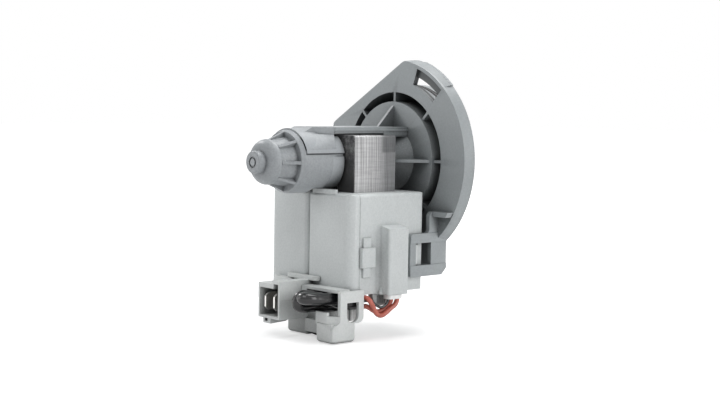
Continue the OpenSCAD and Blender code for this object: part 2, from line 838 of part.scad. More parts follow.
// Shoulders that lead from the round saddle to the wide front of the block
module saddle_shoulders() {
    low = saddle_r * sin(saddle_a) + 0.6;
    side = saddle_r * cos(saddle_a) - 0.2;
    rear_z = block_z - ramp_drop;
    hull() {
        along(block_front - 0.4, block_front)
            polygon([[-side, low], [side, low], [block_front_w / 2, shoulder_z],
                     [-block_front_w / 2, shoulder_z]]);
        along(block_front - block_l - ramp_l, block_front - block_l - ramp_l + 0.2)
            polygon([[-side, low], [side, low], [block_w / 2, rear_z], [-block_w / 2, rear_z]]);
    }
}

module cap_saddle() {
    color(cap_grey) difference() {
        union() {
            intersection() {
                turned() difference() {
                    corner_rect(0, saddle_r, saddle_rear, cap_front + saddle_proud,
                                [0, 0, cap_round + saddle_proud, 0]);
                    translate([0, saddle_front]) square([far, far]);
                }
                along(-far, far) wedge(saddle_a, 180 - saddle_a, far);
            }
            saddle_block();
            saddle_shoulders();
        }
        ring(0, saddle_in, -far, far);
        plate_room();
    }
}

module stator_core() {
    color([0.72, 0.73, 0.73]) along(stack_rear, stack_front) difference() {
        corner_rect(-leg_out, leg_out, leg_bottom, stack_top,
                    [0, 0, stack_corner_r, stack_corner_r]);
        circle(can_r + bore_gap);
        translate([-leg_in, leg_bottom - cut]) square([2 * leg_in, -leg_bottom + cut - 3]);
    }
}

module stator_yoke() {
    color([0.66, 0.67, 0.67]) along(stack_rear, stack_front)
        translate([-leg_out, yoke_bottom]) square([stack_w, yoke_t]);
}

// Outer form of the whole coil housing, or with an inset its inner form
module housing_form(inset) {
    side = half_w - inset;
    y0 = housing_rear + inset;
    y1 = housing_front - inset;
    z0 = housing_bottom + inset;
    z1 = -housing_top - inset;
    r = max(housing_corner_r - inset, 0.5);
    e = max(housing_edge_r - inset, 0.4);
    intersection() {
        upright(z0, z1) corner_rect(-side, side, y0, y1, [r, r, r / 2, r / 2]);
        across(-side, side) corner_rect(y0, y1, z0, z1, [0, 0, e, e]);
        along(y0, y1) corner_rect(-side, side, z0, z1, [0, 0, e, e]);
    }
}

module housing_shell() {
    difference() {
        housing_form(0);
        housing_form(housing_wall);
        box(-leg_out - seat_gap, leg_out + seat_gap, stack_rear - seat_gap, stack_front + seat_gap,
            -housing_top - housing_wall - cut, far);
    }
}

module cross_latch_bar() {
    y = housing_rear + cross_y;
    z = -housing_top - cross_drop;
    box(half_w - housing_wall / 2, half_w + cross_bar_d, y - cross_bar_w / 2, y + cross_bar_w / 2,
        z - cross_bar_h / 2, z + cross_bar_h / 2);
    box(half_w - housing_wall / 2, half_w + cross_block_d, cover_front + seat_gap,
        y + cross_block_w / 2, z - cross_block_h / 2, z + cross_block_h / 2);
}

// Snap tooth with a square rear face and a sloped front
module snap_tooth() {
    y = window_y + seat_gap;
    mid = window_z + window_h / 2;
    upright(mid - tooth_h / 2, mid + tooth_h / 2)
        polygon([[half_w - housing_wall / 2, y], [half_w + tooth_d, y], [half_w + tooth_d, y + 1],
                 [half_w, y + tooth_l], [half_w - housing_wall / 2, y + tooth_l]]);
}

// Open-bottomed pocket on the near side, with a sloped top
module pocket_outside() {
    intersection() {
        upright(housing_bottom - 0.2, far) {
            corner_rect(half_w - housing_wall / 2, pocket_out, pocket_rear, pocket_front,
                        [0, pocket_r, pocket_r, 0]);
            difference() {
                translate([half_w - 0.3, pocket_rear - pocket_fillet])
                    square([pocket_fillet + 0.3, pocket_fillet + 0.3]);
                translate([half_w + pocket_fillet, pocket_rear - pocket_fillet])
                    circle(pocket_fillet);
            }
        }
        along(pocket_rear - pocket_fillet, pocket_front)
            polygon([[0, housing_bottom - 0.2], [pocket_out, housing_bottom - 0.2],
                     [pocket_out, pocket_top], [half_w, pocket_top + pocket_slope],
                     [0, pocket_top + pocket_slope]]);
    }
}

module pocket_inside() {
    box(half_w, pocket_out - pocket_wall, pocket_rear + pocket_wall, pocket_front - pocket_wall,
        housing_bottom - cut, pocket_top - pocket_wall);
}

// Half-round stop with grooves, under the housing's near edge
module ribbed_stop() {
    mid = pocket_rear + 2;
    top = housing_bottom - 0.7;
    difference() {
        across(half_w - 3.2, half_w - 0.8) {
            intersection() {
                translate([mid, top]) circle(stop_r);
                translate([mid - stop_r, top - stop_r - cut])
                    square([2 * stop_r, stop_r + cut + 0.01]);
            }
            translate([mid - stop_r, top]) square([2 * stop_r, 1.2]);
        }
        for (i = [-2:2]) let (y = mid + i * stop_pitch)
            box(half_w - 1.2, half_w, y - 0.2, y + 0.2, top - stop_r + 0.8, top - 0.2);
    }
}

// Tapered nub with a round top, on the pocket's rear face
module pocket_nub() {
    base_r = 1.15;
    tip_r = 0.6;
    translate([half_w + 1.3, pocket_rear + 0.2, housing_bottom - 0.1])
        rotate_extrude() {
            polygon([[0, 0], [base_r, 0], [tip_r, nub_h - tip_r], [0, nub_h - tip_r]]);
            intersection() {
                translate([0, nub_h - tip_r - 0.01]) circle(tip_r);
                translate([0, nub_h - tip_r - 0.01]) square([tip_r, tip_r]);
            }
        }
}

module coil_housing() {
    color(housing_grey) difference() {
        union() {
            intersection() {
                housing_shell();
                box(-far, far, cover_front + seat_gap, far, -far, far);
            }
            both_sides() {
                cross_latch_bar();
                snap_tooth();
            }
            pocket_outside();
            ribbed_stop();
            pocket_nub();
        }
        pocket_inside();
    }
}

// Rear cover of one coil; r is the rounding of its edge at the gap between the covers
module coil_cover(r) {
    inner = cover_gap / 2;
    difference() {
        intersection() {
            housing_form(0);
            upright(-far, far) corner_rect(inner, half_w, housing_rear, cover_front, [r, 0, 0, 0]);
        }
        intersection() {
            housing_form(housing_wall);
            upright(-far, far) corner_rect(inner + housing_wall, half_w, housing_rear + housing_wall,
                                           far, [0.5, 0, 0, 0]);
        }
    }
}

module coil_cover_near() {
    color(housing_grey) {
        coil_cover(cover_near_r);
        box(1.5, 1.5 + bar_l, housing_rear + 0.4, housing_rear + 0.4 + bar_d, -housing_top - 0.4,
            -housing_top + bar_h);
    }
}

module coil_cover_far() {
    color(housing_grey) {
        mirror([1, 0, 0]) coil_cover(cover_far_r);
        box(-4.6, -2.2, housing_rear + 0.4, housing_rear + 0.4 + bar_d, -housing_top - 0.4,
            -housing_top + bar_h / 2);
    }
}

// Former on the near leg: a tube with a flange at each end
module coil_former() {
    leg = [leg_in - seat_gap, leg_out + seat_gap];
    y = [stack_rear - seat_gap, stack_front + seat_gap];
    difference() {
        union() {
            box(former_in, former_out, y[0] - former_wall, y[1] + former_wall,
                former_bottom, former_top);
            for (z = [former_bottom, former_top - former_wall])
                upright(z, z + former_wall)
                    corner_rect(former_in - former_rim, former_out + former_rim,
                                y[0] - former_wall - former_rim, y[1] + former_wall + former_rim,
                                [2, 2, 2, 2]);
        }
        box(leg[0], leg[1], y[0], y[1], former_bottom - cut, former_top + cut);
    }
}

module winding() {
    gap = 0.05;
    y = [stack_rear - seat_gap - former_wall, stack_front + seat_gap + former_wall];
    t = former_rim - 0.3;
    upright(former_bottom + former_wall + gap, former_top - former_wall - gap) difference() {
        corner_rect(former_in - t, former_out + t, y[0] - t, y[1] + t,
                    [winding_r, winding_r, winding_r, winding_r]);
        translate([former_in - gap, y[0] - gap])
            square([former_out - former_in + 2 * gap, y[1] - y[0] + 2 * gap]);
    }
}

module coil_former_near() { color([0.86, 0.86, 0.82]) coil_former(); }
module coil_former_far() { color([0.86, 0.86, 0.82]) mirror([1, 0, 0]) coil_former(); }
module winding_near() { color([0.72, 0.42, 0.22]) winding(); }
module winding_far() { color([0.72, 0.42, 0.22]) mirror([1, 0, 0]) winding(); }

module thermal_protector() {
    color([0.85, 0.84, 0.78]) upright(housing_bottom + 4, pocket_top - pocket_wall - end_gap)
        corner_rect(half_w + end_gap, pocket_out - pocket_wall - end_gap,
                    pocket_rear + pocket_wall + end_gap, pocket_front - pocket_wall - end_gap,
                    [0.5, 0.5, 0.5, 0.5]);
}

// Side view of the connector, with its chamfered lower rear edge
module connector_profile(bottom, roof) {
    back = housing_rear - 1.4;
    bevel = 1.7;
    intersection() {
        polygon([[plug_mouth, plug_bottom], [back - bevel, plug_bottom],
                 [back, plug_bottom + bevel], [back, far], [plug_mouth, far]]);
        translate([-far, bottom]) square([2 * far, roof - bottom]);
    }
}

module connector() {
    parting_z = plug_bottom + plug_h / 2 + 0.7;
    key_x = plug_x - plug_wall - key_w;
    rail_x = plug_far + 3;
    difference() {
        union() {
            across(plug_far, plug_x) connector_profile(parting_z, plug_roof);
            across(plug_far + parting, plug_x - parting)
                connector_profile(plug_bottom, parting_z + cut);
            across(key_x - plug_wall, plug_x) connector_profile(parting_z, plug_roof + key_rise);
            across(rail_x, rail_x + rail_w)
                polygon([[plug_mouth, plug_bottom + 0.2], [plug_mouth, plug_bottom - rail_h],
                         [plug_mouth + 7, plug_bottom - rail_h + 0.4],
                         [plug_floor + 1, plug_bottom + 0.2]]);
        }
        box(plug_far + plug_wall, plug_x - plug_wall, plug_mouth - cut, plug_floor,
            plug_bottom + plug_wall, plug_roof - plug_top);
        box(key_x, plug_x - plug_wall, plug_mouth - cut, plug_floor,
            plug_bottom + plug_wall, plug_roof);
        box(rail_x + 0.8, rail_x + 2.6, plug_mouth - cut, plug_mouth + 8,
            plug_bottom - 1.1, plug_bottom);
    }
}

// Plate between the connector and the housing, with a lower far part
module deck() {
    front = housing_rear - seat_gap;
    split = plug_far - 0.3;
    upright(deck_top - deck_t, deck_top)
        corner_rect(split, 7.2, housing_rear - 2.2, front, [0.5, 1.8, 0, 0]);
    upright(deck_top - deck_t - deck_step, deck_top - deck_step)
        corner_rect(split - 11, split + 3, housing_rear - 2.6, front, [0.6, 0, 0, 0]);
    box(split, plug_x - 0.3, housing_rear - 1.6, front, plug_roof - cut, deck_top - deck_t / 2);
}

// Shelf over the sleeved leads, with a cut corner at the clip plate
module shelf() {
    rear = housing_rear - shelf_reach;
    front = housing_rear - seat_gap;
    upright(shelf_top - shelf_t, shelf_top)
        polygon([[plug_x - cut, rear], [clip_in - 3, rear], [clip_in + 0.4, rear + 0.8],
                 [clip_in + 0.4, front], [plug_x - cut, front]]);
    box(plug_x - cut, plug_x + 3, rear, front, shelf_top - 2.4, shelf_top - shelf_t / 2);
}

// Side view of the clip plate: it widens in an S-shaped edge into the near foot
module clip_profile() {
    bend = 1.6;
    shoulder = 2.6;
    difference() {
        union() {
            corner_rect(clip_rear, clip_front, clip_low, clip_top, [0, clip_r, 0.6, 0.6]);
            corner_rect(foot_rear, foot_front, foot_bottom, foot_top, [foot_r, foot_r, 0, shoulder]);
            translate([clip_rear - bend, foot_top - 0.1]) difference() {
                square([bend + cut, bend]);
                translate([0, bend]) circle(bend);
            }
        }
        translate([clip_rear + clip_leg, clip_window_top - clip_window_h])
            corner_rect(0, clip_window_w, 0, clip_window_h, [2.4, 2.4, 0, 0]);
    }
}

// Near foot with rounded edges
module near_foot() {
    r = foot_r;
    intersection() {
        union() {
            across(clip_in, clip_out) clip_profile();
            across(foot_in, clip_in + 0.2)
                corner_rect(foot_rear, foot_front, foot_bottom, foot_top, [r, r, 0, 0]);
        }
        upright(-far, far) corner_rect(foot_in, clip_out, foot_rear, clip_front, [r, r, 0, 0]);
        along(-far, far) corner_rect(foot_in, clip_out, foot_bottom, far, [r, r / 2, 0, 0]);
    }
}

// Walls on the near foot that guide the leads
module foot_walls() {
    rear = foot_rear + 0.3;
    inner = foot_in - 0.5;
    corner = clip_in - 2.3;
    guide = clip_in - 5.4;
    box(inner, corner, rear, rear + rear_wall_t, foot_top - 0.3, rear_wall_top);
    // Lower wall that runs aslant to the clip plate
    upright(foot_top - 0.3, rear_wall_top - 1.3)
        polygon([[corner - 0.3, rear], [corner, rear], [clip_out - 0.1, clip_rear - 0.1],
                 [clip_out - 0.1, clip_rear + 0.5], [clip_in + 0.2, clip_rear + 0.5],
                 [corner - 0.3, rear + 1.6]]);
    // Guide wall behind the clip's window, with a peg on it
    across(guide - 1.2, guide)
        corner_rect(foot_rear + 2, foot_rear + 2 + guide_l, foot_top - 0.6, rear_wall_top - 0.4,
                    [0.6, 1.2, 0.4, 0]);
    upright(foot_top - 0.2, rear_wall_top + 0.5) translate([guide - 0.2, clip_front - 0.2]) circle(0.9);
}

module terminal_carrier() {
    color(housing_grey) difference() {
        union() {
            connector();
            deck();
            shelf();
            near_foot();
            foot_walls();
            // Far foot and the web that joins both feet
            upright(foot_bottom, plug_roof - cut)
                corner_rect(far_foot_x, plug_x - 0.3, far_foot_rear, far_foot_rear + far_foot_d,
                            [foot_r, foot_r, foot_r, foot_r]);
            box(plug_x - cut, foot_in + cut, foot_rear + 5.6, foot_front - 0.4,
                foot_bottom + 1.5, foot_top - 0.6);
        }
        // Room for the housing
        box(-far, clip_in, housing_rear - seat_gap, far, housing_bottom - seat_gap, far);
        // Slit between the shelf and the clip plate
        box(clip_in - 0.35, clip_in, clip_rear + 1, housing_rear - 1, clip_top - 0.1, far);
        for (x = tab_x) box(x - tab_t / 2 - 0.05, x + tab_t / 2 + 0.05, plug_floor - cut,
                            plug_floor + 3.5, tab_z - 0.05, tab_z + tab_w + 0.05);
    }
}

module terminal_tabs() {
    color([0.85, 0.83, 0.78]) for (x = tab_x) across(x - tab_t / 2, x + tab_t / 2)
        polygon([[tab_tip, tab_z + tab_chamfer], [tab_tip + tab_chamfer, tab_z],
                 [plug_floor + 3.4, tab_z], [plug_floor + 3.4, tab_z + tab_w],
                 [tab_tip + tab_chamfer, tab_z + tab_w],
                 [tab_tip, tab_z + tab_w - tab_chamfer]]);
}

// Smooth curve through points chosen by hand
function curve_point(p, i, t) =
    let (a = p[max(i - 1, 0)], b = p[i], c = p[i + 1], d = p[min(i + 2, len(p) - 1)])
    0.5 * (2 * b + (c - a) * t + (2 * a - 5 * b + 4 * c - d) * t * t
           + (3 * b - a - 3 * c + d) * t * t * t);
function curve(p, n) = concat([for (i = [0:len(p) - 2], k = [0:n - 1]) curve_point(p, i, k / n)],
                              [p[len(p) - 1]]);
function unit(v) = v / norm(v);

// Round tube along a route that never runs straight along the direction side
module tube(route, d, sides, side = [1, 0, 0]) {
    p = curve(route, 4);
    n = len(p);
    ring_at = function (i)
        let (t = unit(p[min(i + 1, n - 1)] - p[max(i - 1, 0)]), u = unit(cross(t, side)),
             v = cross(t, u))
        [for (k = [0:sides - 1]) let (a = 360 * k / sides) p[i] + d / 2 * (u * cos(a) + v * sin(a))];
    points = [for (i = [0:n - 1]) each ring_at(i)];
    walls = [for (i = [0:n - 2], k = [0:sides - 1])
        let (a = i * sides + k, b = i * sides + (k + 1) % sides)
        each [[a, b, b + sides], [a, b + sides, a + sides]]];
    polyhedron(points, concat([[for (k = [sides - 1:-1:0]) k]], walls,
                              [[for (k = [0:sides - 1]) (n - 1) * sides + k]]));
}

// Near sleeve: it leaves the clip, turns back level and returns beside itself
near_sleeve_route = [[19.4, -47.2, -48], [19.3, -50, -47.8], [19.2, -54, -47.4], [19, -58, -47.1],
                     [18.6, -60.6, -46.9], [17.1, -62.2, -46.8], [15.4, -60.8, -46.8],
                     [14.9, -58, -47], [14.9, -54, -47.4], [14.9, -50, -47.7], [14.9, -47, -47.8]];
// Far sleeve: it turns down in an upright loop and returns under itself
far_sleeve_route = [[10.5, -46.9, -47.6], [10.5, -51, -47.4], [10.5, -54.6, -47],
                    [10.5, -57.6, -46.8], [10.5, -59.2, -47.8], [10.5, -59.6, -49.2],
                    [10.5, -58.9, -50.6], [10.5, -56.8, -51.3], [10.5, -53, -51.3],
                    [10.5, -49, -51.6], [10.5, -44.8, -51.8]];

module black_sleeves() {
    color([0.08, 0.08, 0.09]) {
        tube(near_sleeve_route, near_sleeve_d, 12, [0, 0, 1]);
        tube(far_sleeve_route, far_sleeve_d, 12);
    }
}

// Leads from the clip to the protector, sagging under the housing's edge
red_route_a = [[18.8, -43.9, -48.7], [20.2, -41.6, -48.3], [21.8, -39.4, -47.9],
               [23.7, -38.7, -47.7], [24.8, -38.1, -48.6], [25.3, -37.2, -50.3],
               [25.5, -36.2, -52.3], [25.6, -34.9, -53.7], [25.6, -33.2, -54.2], [25.6, -31, -53.5],
               [25.7, -28.7, -52], [25.8, -26.5, -50.6], [25.7, -25.6, -48.8], [25.6, -25.4, -42.9]];
red_route_b = [[18.8, -43.9, -51.9], [20.2, -41.6, -51.5], [21.6, -39.4, -51],
               [22.8, -37.9, -50.9], [23.4, -36.6, -51.6], [23.6, -35, -52.6], [23.6, -33.3, -53.1],
               [23.7, -31.3, -52.9], [23.9, -29.4, -52], [24.3, -28, -50.4],
               [24.7, -27.6, -48.8], [24.8, -27.5, -42.9]];
thin_route = [[18.8, -43.9, -50.2], [20.3, -41.6, -49.7], [21.7, -39.6, -49.3],
              [22.6, -38, -49], [23.3, -36.8, -49.1], [23.9, -35.4, -49.9],
              [24.4, -33.9, -50.9], [24.7, -32.4, -51.5], [24.9, -30.9, -51], [25, -29.7, -49.9],
              [25, -29.3, -48.6], [25, -29.2, -42.9]];

module red_leads() {
    color([0.70, 0.32, 0.27]) {
        tube(red_route_a, lead_d, 8);
        tube(red_route_b, lead_d, 8);
    }
}

module thin_lead() {
    color([0.12, 0.12, 0.12]) tube(thin_route, thin_d, 8);
}

// Flattened sleeve that gathers the leads below the protector
module white_sleeve() {
    color([0.92, 0.92, 0.90]) upright(housing_bottom - 1.9, housing_bottom + 3) difference() {
        corner_rect(half_w + 0.5, pocket_out - pocket_wall - 0.2, pocket_rear + 1.3,
                    pocket_front - 1.3, [1.4, 1.4, 1.4, 1.4]);
        corner_rect(half_w + 0.9, pocket_out - pocket_wall - 0.6, pocket_rear + 1.7,
                    pocket_front - 1.7, [1, 1, 1, 1]);
    }
}

module bearing_carrier() {
    color([0.30, 0.31, 0.32]) difference() {
        union() {
            ring(0, carrier_r, carrier_y, recess_y);
            ring(0, cup_r + seat_gap + 1, carrier_y, recess_y + carrier_t);
            ring(0, carrier_tube_r, front_bearing_y, carrier_y + cut);
        }
        ring(0, cup_r + seat_gap, front_bearing_y - cut, front_bearing_y + bearing_l + cup_lip);
        ring(0, shaft_r + 0.5, front_bearing_y, far);
    }
}

module carrier_seal() {
    color([0.12, 0.12, 0.12]) turned() translate([10.4, carrier_y - 0.62]) circle(0.58);
}

// Rubber cup round one bearing, open towards the rotor
module bearing_cup(y0) {
    ring(bearing_r + seat_gap / 2, cup_r, y0, y0 + bearing_l);
}

module bearing(y0) {
    ring(shaft_r + run_gap, bearing_r, y0, y0 + bearing_l);
}

module front_bearing_cup() { color([0.15, 0.15, 0.15]) bearing_cup(front_bearing_y + 0.2); }
module front_bearing() { color([0.35, 0.35, 0.36]) bearing(front_bearing_y + 0.2); }
module rear_bearing_cup() { color([0.15, 0.15, 0.15]) bearing_cup(rear_bearing_y - bearing_l); }
module rear_bearing() { color([0.35, 0.35, 0.36]) bearing(rear_bearing_y - bearing_l); }

module rotor_shaft() {
    color([0.80, 0.81, 0.82]) ring(0, shaft_r, shaft_rear, shaft_front);
}

module rotor_hub() {
    color([0.25, 0.25, 0.26]) ring(shaft_r + 0.01, hub_r, hub_rear, hub_front);
}

module rotor_magnet() {
    color([0.22, 0.22, 0.23]) turned()
        corner_rect(hub_r + 0.01, magnet_r, magnet_rear, magnet_front, [0, 0.5, 0.5, 0]);
}

module thrust_washers() {
    color([0.75, 0.70, 0.60]) for (y = [hub_front + end_gap, hub_rear - end_gap - washer_t])
        ring(shaft_r + 0.01, washer_r, y, y + washer_t);
}

module drive_dog() {
    color([0.82, 0.80, 0.74]) difference() {
        union() {
            ring(0, dog_hub_r, dog_y, cavity_end - end_gap);
            intersection() {
                ring(0, claw_r, dog_y + 0.4, cavity_end - 2 * end_gap);
                along(-far, far) wedge(-claw_a / 2, claw_a / 2, far);
            }
        }
        ring(0, shaft_r + 0.01, -far, far);
    }
}

module impeller() {
    vane_y = lid_y + impeller_disc_t;
    color([0.20, 0.21, 0.22]) difference() {
        union() {
            turned() corner_rect(0, impeller_hub_r, lid_y, hub_end, [0, 0, 2, 0]);
            ring(0, impeller_r - 3, lid_y, vane_y);
            for (i = [0:vanes - 1]) spin(45 + i * 360 / vanes)
                web([[impeller_hub_r - 1, lid_y], [impeller_r, lid_y],
                     [impeller_r, vane_y + vane_l * 0.7], [impeller_r - 3.5, vane_y + vane_l],
                     [impeller_hub_r - 1, vane_y + vane_l]], vane_t);
        }
        difference() {
            ring(0, cavity_r, lid_y - cut, cavity_end);
            intersection() {
                ring(dog_hub_r + end_gap, cavity_r + cut, lid_y + lid_t, cavity_end + cut);
                along(-far, far) wedge(180 - claw_a / 2, 180 + claw_a / 2, far);
            }
        }
        ring(0, shaft_r + run_gap, lid_y, shaft_front + 0.4);
    }
}

module impeller_lid() {
    color([0.20, 0.21, 0.22]) ring(shaft_r + run_gap + 0.02, cavity_r - 0.03, lid_y, lid_y + lid_t);
}

pump_body();
sealing_ring();
rear_cap();
cap_saddle();
stator_core();
stator_yoke();
coil_housing();
coil_cover_near();
coil_cover_far();
coil_former_near();
coil_former_far();
winding_near();
winding_far();
thermal_protector();
terminal_carrier();
terminal_tabs();
black_sleeves();
red_leads();
thin_lead();
white_sleeve();
bearing_carrier();
carrier_seal();
front_bearing_cup();
front_bearing();
rear_bearing_cup();
rear_bearing();
rotor_shaft();
rotor_hub();
rotor_magnet();
thrust_washers();
drive_dog();
impeller();
impeller_lid();
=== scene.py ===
"""Looks of a dishwasher's drain pump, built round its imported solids."""

import json
import math
import random

import bmesh
import bpy
from mathutils import Matrix, Vector


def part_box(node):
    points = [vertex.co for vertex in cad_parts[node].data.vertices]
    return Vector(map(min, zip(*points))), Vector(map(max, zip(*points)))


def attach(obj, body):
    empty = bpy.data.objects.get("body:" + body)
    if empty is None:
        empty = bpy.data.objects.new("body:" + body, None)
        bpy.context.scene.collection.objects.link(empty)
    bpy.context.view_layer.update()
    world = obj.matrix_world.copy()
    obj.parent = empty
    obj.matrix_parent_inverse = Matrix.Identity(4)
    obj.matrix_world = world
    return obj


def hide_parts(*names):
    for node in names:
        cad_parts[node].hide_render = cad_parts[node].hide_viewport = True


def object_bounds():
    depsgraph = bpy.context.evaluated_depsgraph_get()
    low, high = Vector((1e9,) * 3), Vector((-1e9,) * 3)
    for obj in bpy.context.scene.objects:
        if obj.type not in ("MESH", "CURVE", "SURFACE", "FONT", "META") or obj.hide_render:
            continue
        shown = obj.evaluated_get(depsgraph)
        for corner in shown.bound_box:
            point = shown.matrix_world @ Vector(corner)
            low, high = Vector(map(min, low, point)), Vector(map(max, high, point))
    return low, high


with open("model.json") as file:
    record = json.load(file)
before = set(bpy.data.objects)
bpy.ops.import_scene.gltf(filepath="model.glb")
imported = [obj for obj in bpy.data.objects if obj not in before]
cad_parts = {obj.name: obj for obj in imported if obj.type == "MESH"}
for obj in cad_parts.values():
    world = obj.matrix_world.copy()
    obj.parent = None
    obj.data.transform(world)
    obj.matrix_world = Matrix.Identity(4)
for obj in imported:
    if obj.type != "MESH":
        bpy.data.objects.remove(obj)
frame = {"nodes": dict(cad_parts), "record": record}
cad_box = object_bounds()
nodes = frame["nodes"]
scene = bpy.context.scene
MM = 0.001
BODY = "pump"


# Camera
YAW = 0.84163
PITCH = 0.07535
ROLL = 0.01638
FIT_ORIGIN = Vector((0, -4.5, 0))
OFFSET = Vector((12.5017, 16.7934, 531.0379))
FOCAL_PX = 1393.45
PHOTO_WIDTH_PX = 720
SENSOR_WIDTH = 36.0
CLIP_START = 0.05
CLIP_END = 20


def add_camera():
    """Camera fitted to the photograph: angles in radians, place in millimetres from FIT_ORIGIN."""
    forward = Vector((-math.sin(YAW) * math.cos(PITCH), math.cos(YAW) * math.cos(PITCH), -math.sin(PITCH)))
    right = Vector((math.cos(YAW), math.sin(YAW), 0))
    up = right.cross(forward)
    place = FIT_ORIGIN - (right * OFFSET.x + up * OFFSET.y + forward * OFFSET.z)
    image_right = right * math.cos(ROLL) + up * math.sin(ROLL)
    image_up = up * math.cos(ROLL) - right * math.sin(ROLL)
    data = bpy.data.cameras.new("camera")
    data.sensor_width = SENSOR_WIDTH
    data.lens = FOCAL_PX / PHOTO_WIDTH_PX * SENSOR_WIDTH
    data.clip_start = CLIP_START
    data.clip_end = CLIP_END
    camera = bpy.data.objects.new("camera", data)
    scene.collection.objects.link(camera)
    turn = Matrix((image_right, image_up, -forward)).transposed()
    camera.matrix_world = Matrix.Translation(place * MM) @ turn.to_4x4()
    scene.camera = camera


add_camera()


# Node trees
# A Mix node has several sockets of the same name, so those of its colours go by number.
MIX_SHARE, MIX_FIRST, MIX_SECOND, MIX_RESULT = 0, 6, 7, 2


class Tree:
    """A node tree that is built with one short call for each node."""

    def __init__(self, tree):
        self.tree = tree
        tree.nodes.clear()

    def add(self, kind, inputs=None, **settings):
        """Adds a node, fills its inputs with constants or other nodes' sockets, and gives its outputs."""
        node = self.tree.nodes.new(kind)
        for name, value in settings.items():
            setattr(node, name, value)
        for name, value in (inputs or {}).items():
            socket = node.inputs[name]
            if isinstance(value, bpy.types.NodeSocket):
                self.tree.links.new(value, socket)
            elif socket.type == "RGBA":
                socket.default_value = (*value, 1)
            else:
                socket.default_value = value
        return node.outputs

    def math(self, operation, a, b=0.0, clamp=False):
        """Socket with the result of one sum on sockets or numbers."""
        return self.add("ShaderNodeMath", {0: a, 1: b}, operation=operation, use_clamp=clamp)["Value"]

    def product(self, first, *others):
        for factor in others:
            first = self.math("MULTIPLY", first, factor)
        return first

    def map_range(self, value, start, end, low=0.0, high=1.0):
        """Value stretched from start..end to low..high, and held at the ends."""
        spans = {"Value": value, "From Min": start, "From Max": end, "To Min": low, "To Max": high}
        return self.add("ShaderNodeMapRange", spans)["Result"]


class Material(Tree):
    """A material with one Principled shader, patterned in the object's own space."""

    def __init__(self, name):
        self.material = bpy.data.materials.new(name)
        self.material.use_nodes = True
        super().__init__(self.material.node_tree)
        self.space = self.add("ShaderNodeTexCoord")["Object"]
        self.x, self.y, self.z = self.add("ShaderNodeSeparateXYZ", {"Vector": self.space})

    def noise(self, scale, detail, rough, stretch=None):
        """Cloudy pattern with scale features to the metre, more of them along a stretched axis."""
        space = self.space
        if stretch:
            space = self.add("ShaderNodeMapping", {"Vector": space, "Scale": stretch})["Vector"]
        values = {"Vector": space, "Scale": scale, "Detail": detail, "Roughness": rough}
        return self.add("ShaderNodeTexNoise", values)["Fac"]

    def stripes(self, axis, per_metre, detail):
        """Uneven stripes across one axis."""
        place = self.math("MULTIPLY", axis, per_metre)
        values = {"W": place, "Scale": 1.0, "Detail": detail}
        return self.add("ShaderNodeTexNoise", values, noise_dimensions="1D")["Fac"]

    def ramp(self, source, *stops):
        """Colour ramp through stops of a position and a colour or a level of grey."""
        node = self.tree.nodes.new("ShaderNodeValToRGB")
        self.tree.links.new(source, node.inputs["Fac"])
        elements = node.color_ramp.elements
        while len(elements) < len(stops):
            elements.new(0.5)
        for element, (position, color) in zip(elements, stops):
            element.position = position
            element.color = (*color, 1) if isinstance(color, tuple) else (color, color, color, 1)
        return node.outputs["Color"]

    def mix(self, share, first, second, blend="MIX"):
        colors = {MIX_SHARE: share, MIX_FIRST: first, MIX_SECOND: second}
        return self.add("ShaderNodeMix", colors, data_type="RGBA", blend_type=blend)[MIX_RESULT]

    def bump(self, height, strength, depth, under=None):
        """Normal of a relief, depth in millimetres, on top of the normal under it."""
        values = {"Height": height, "Strength": strength, "Distance": depth * MM}
        if under:
            values["Normal"] = under
        return self.add("ShaderNodeBump", values)["Normal"]

    def finish(self, inputs):
        """Adds the Principled shader with its inputs, and gives the material."""
        shader = self.add("ShaderNodeBsdfPrincipled", inputs)["BSDF"]
        self.add("ShaderNodeOutputMaterial", {"Surface": shader})
        return self.material


# Colours
def linear(level):
    """Linear value of a level from 0 to 255 that is read on a screen."""
    share = level / 255
    return share / 12.92 if share <= 0.04045 else ((share + 0.055) / 1.055) ** 2.4


def screen(r, g, b):
    """Linear colour from three levels that are read on a screen."""
    return (linear(r), linear(g), linear(b))


def scaled(color, factor, lift=0.0):
    """The colour made lighter or darker, held below white."""
    return tuple(min(1, c * factor + lift) for c in color)


# Moulded plastic
CLOUDS = dict(scale=55, detail=4, rough=0.6)
FINE = dict(scale=1300, detail=3, rough=0.75)
GRAIN = dict(scale=2600, detail=3, rough=0.65)
WAVES = dict(scale=120, detail=2, rough=0.5)
SPECK_SCALE = 900
GRAIN_STRENGTH, GRAIN_DEPTH = 0.22, 0.05
WAVE_STRENGTH, WAVE_DEPTH = 0.12, 0.25
CLOUD_DARK, CLOUD_LIGHT = 0.93, 1.06
SPECK_FACTOR, SPECK_LIFT = 1.9, 0.08
WORN_FACTOR, WORN_LIFT = 1.5, 0.05
# How dark the painted shade in the bayonet pocket and in recesses is, as a factor of the base colour.
POCKET_SHADE_FACTOR, RECESS_SHADE_FACTOR = 0.1, 0.12
PLASTIC_IOR = 1.49
PLASTIC_GLOSS = 0.36
# The bayonet pocket's inside, where shade is painted, in millimetres and degrees: between two radii and
# angles, past its rim.
POCKET_RADII = (30, 36.5)
POCKET_ANGLES = (46.2, 71.1)
POCKET_RIM = -4.4
# The body's recesses are shaded in front of the stack only, so the shade fades out between these Y.
RECESS_FADE = (-19, -14)


def specks(m, share):
    """Small pale dots, as of glass fibre: the middles of some cells of a Voronoi pattern."""
    cells = m.add("ShaderNodeTexVoronoi", {"Vector": m.space, "Scale": SPECK_SCALE})
    middles = m.ramp(cells["Distance"], (0.0, 1), (0.17, 0))
    chosen = m.ramp(cells["Color"], (0.62, 0), (0.7, 1))
    return m.product(middles, chosen, share)


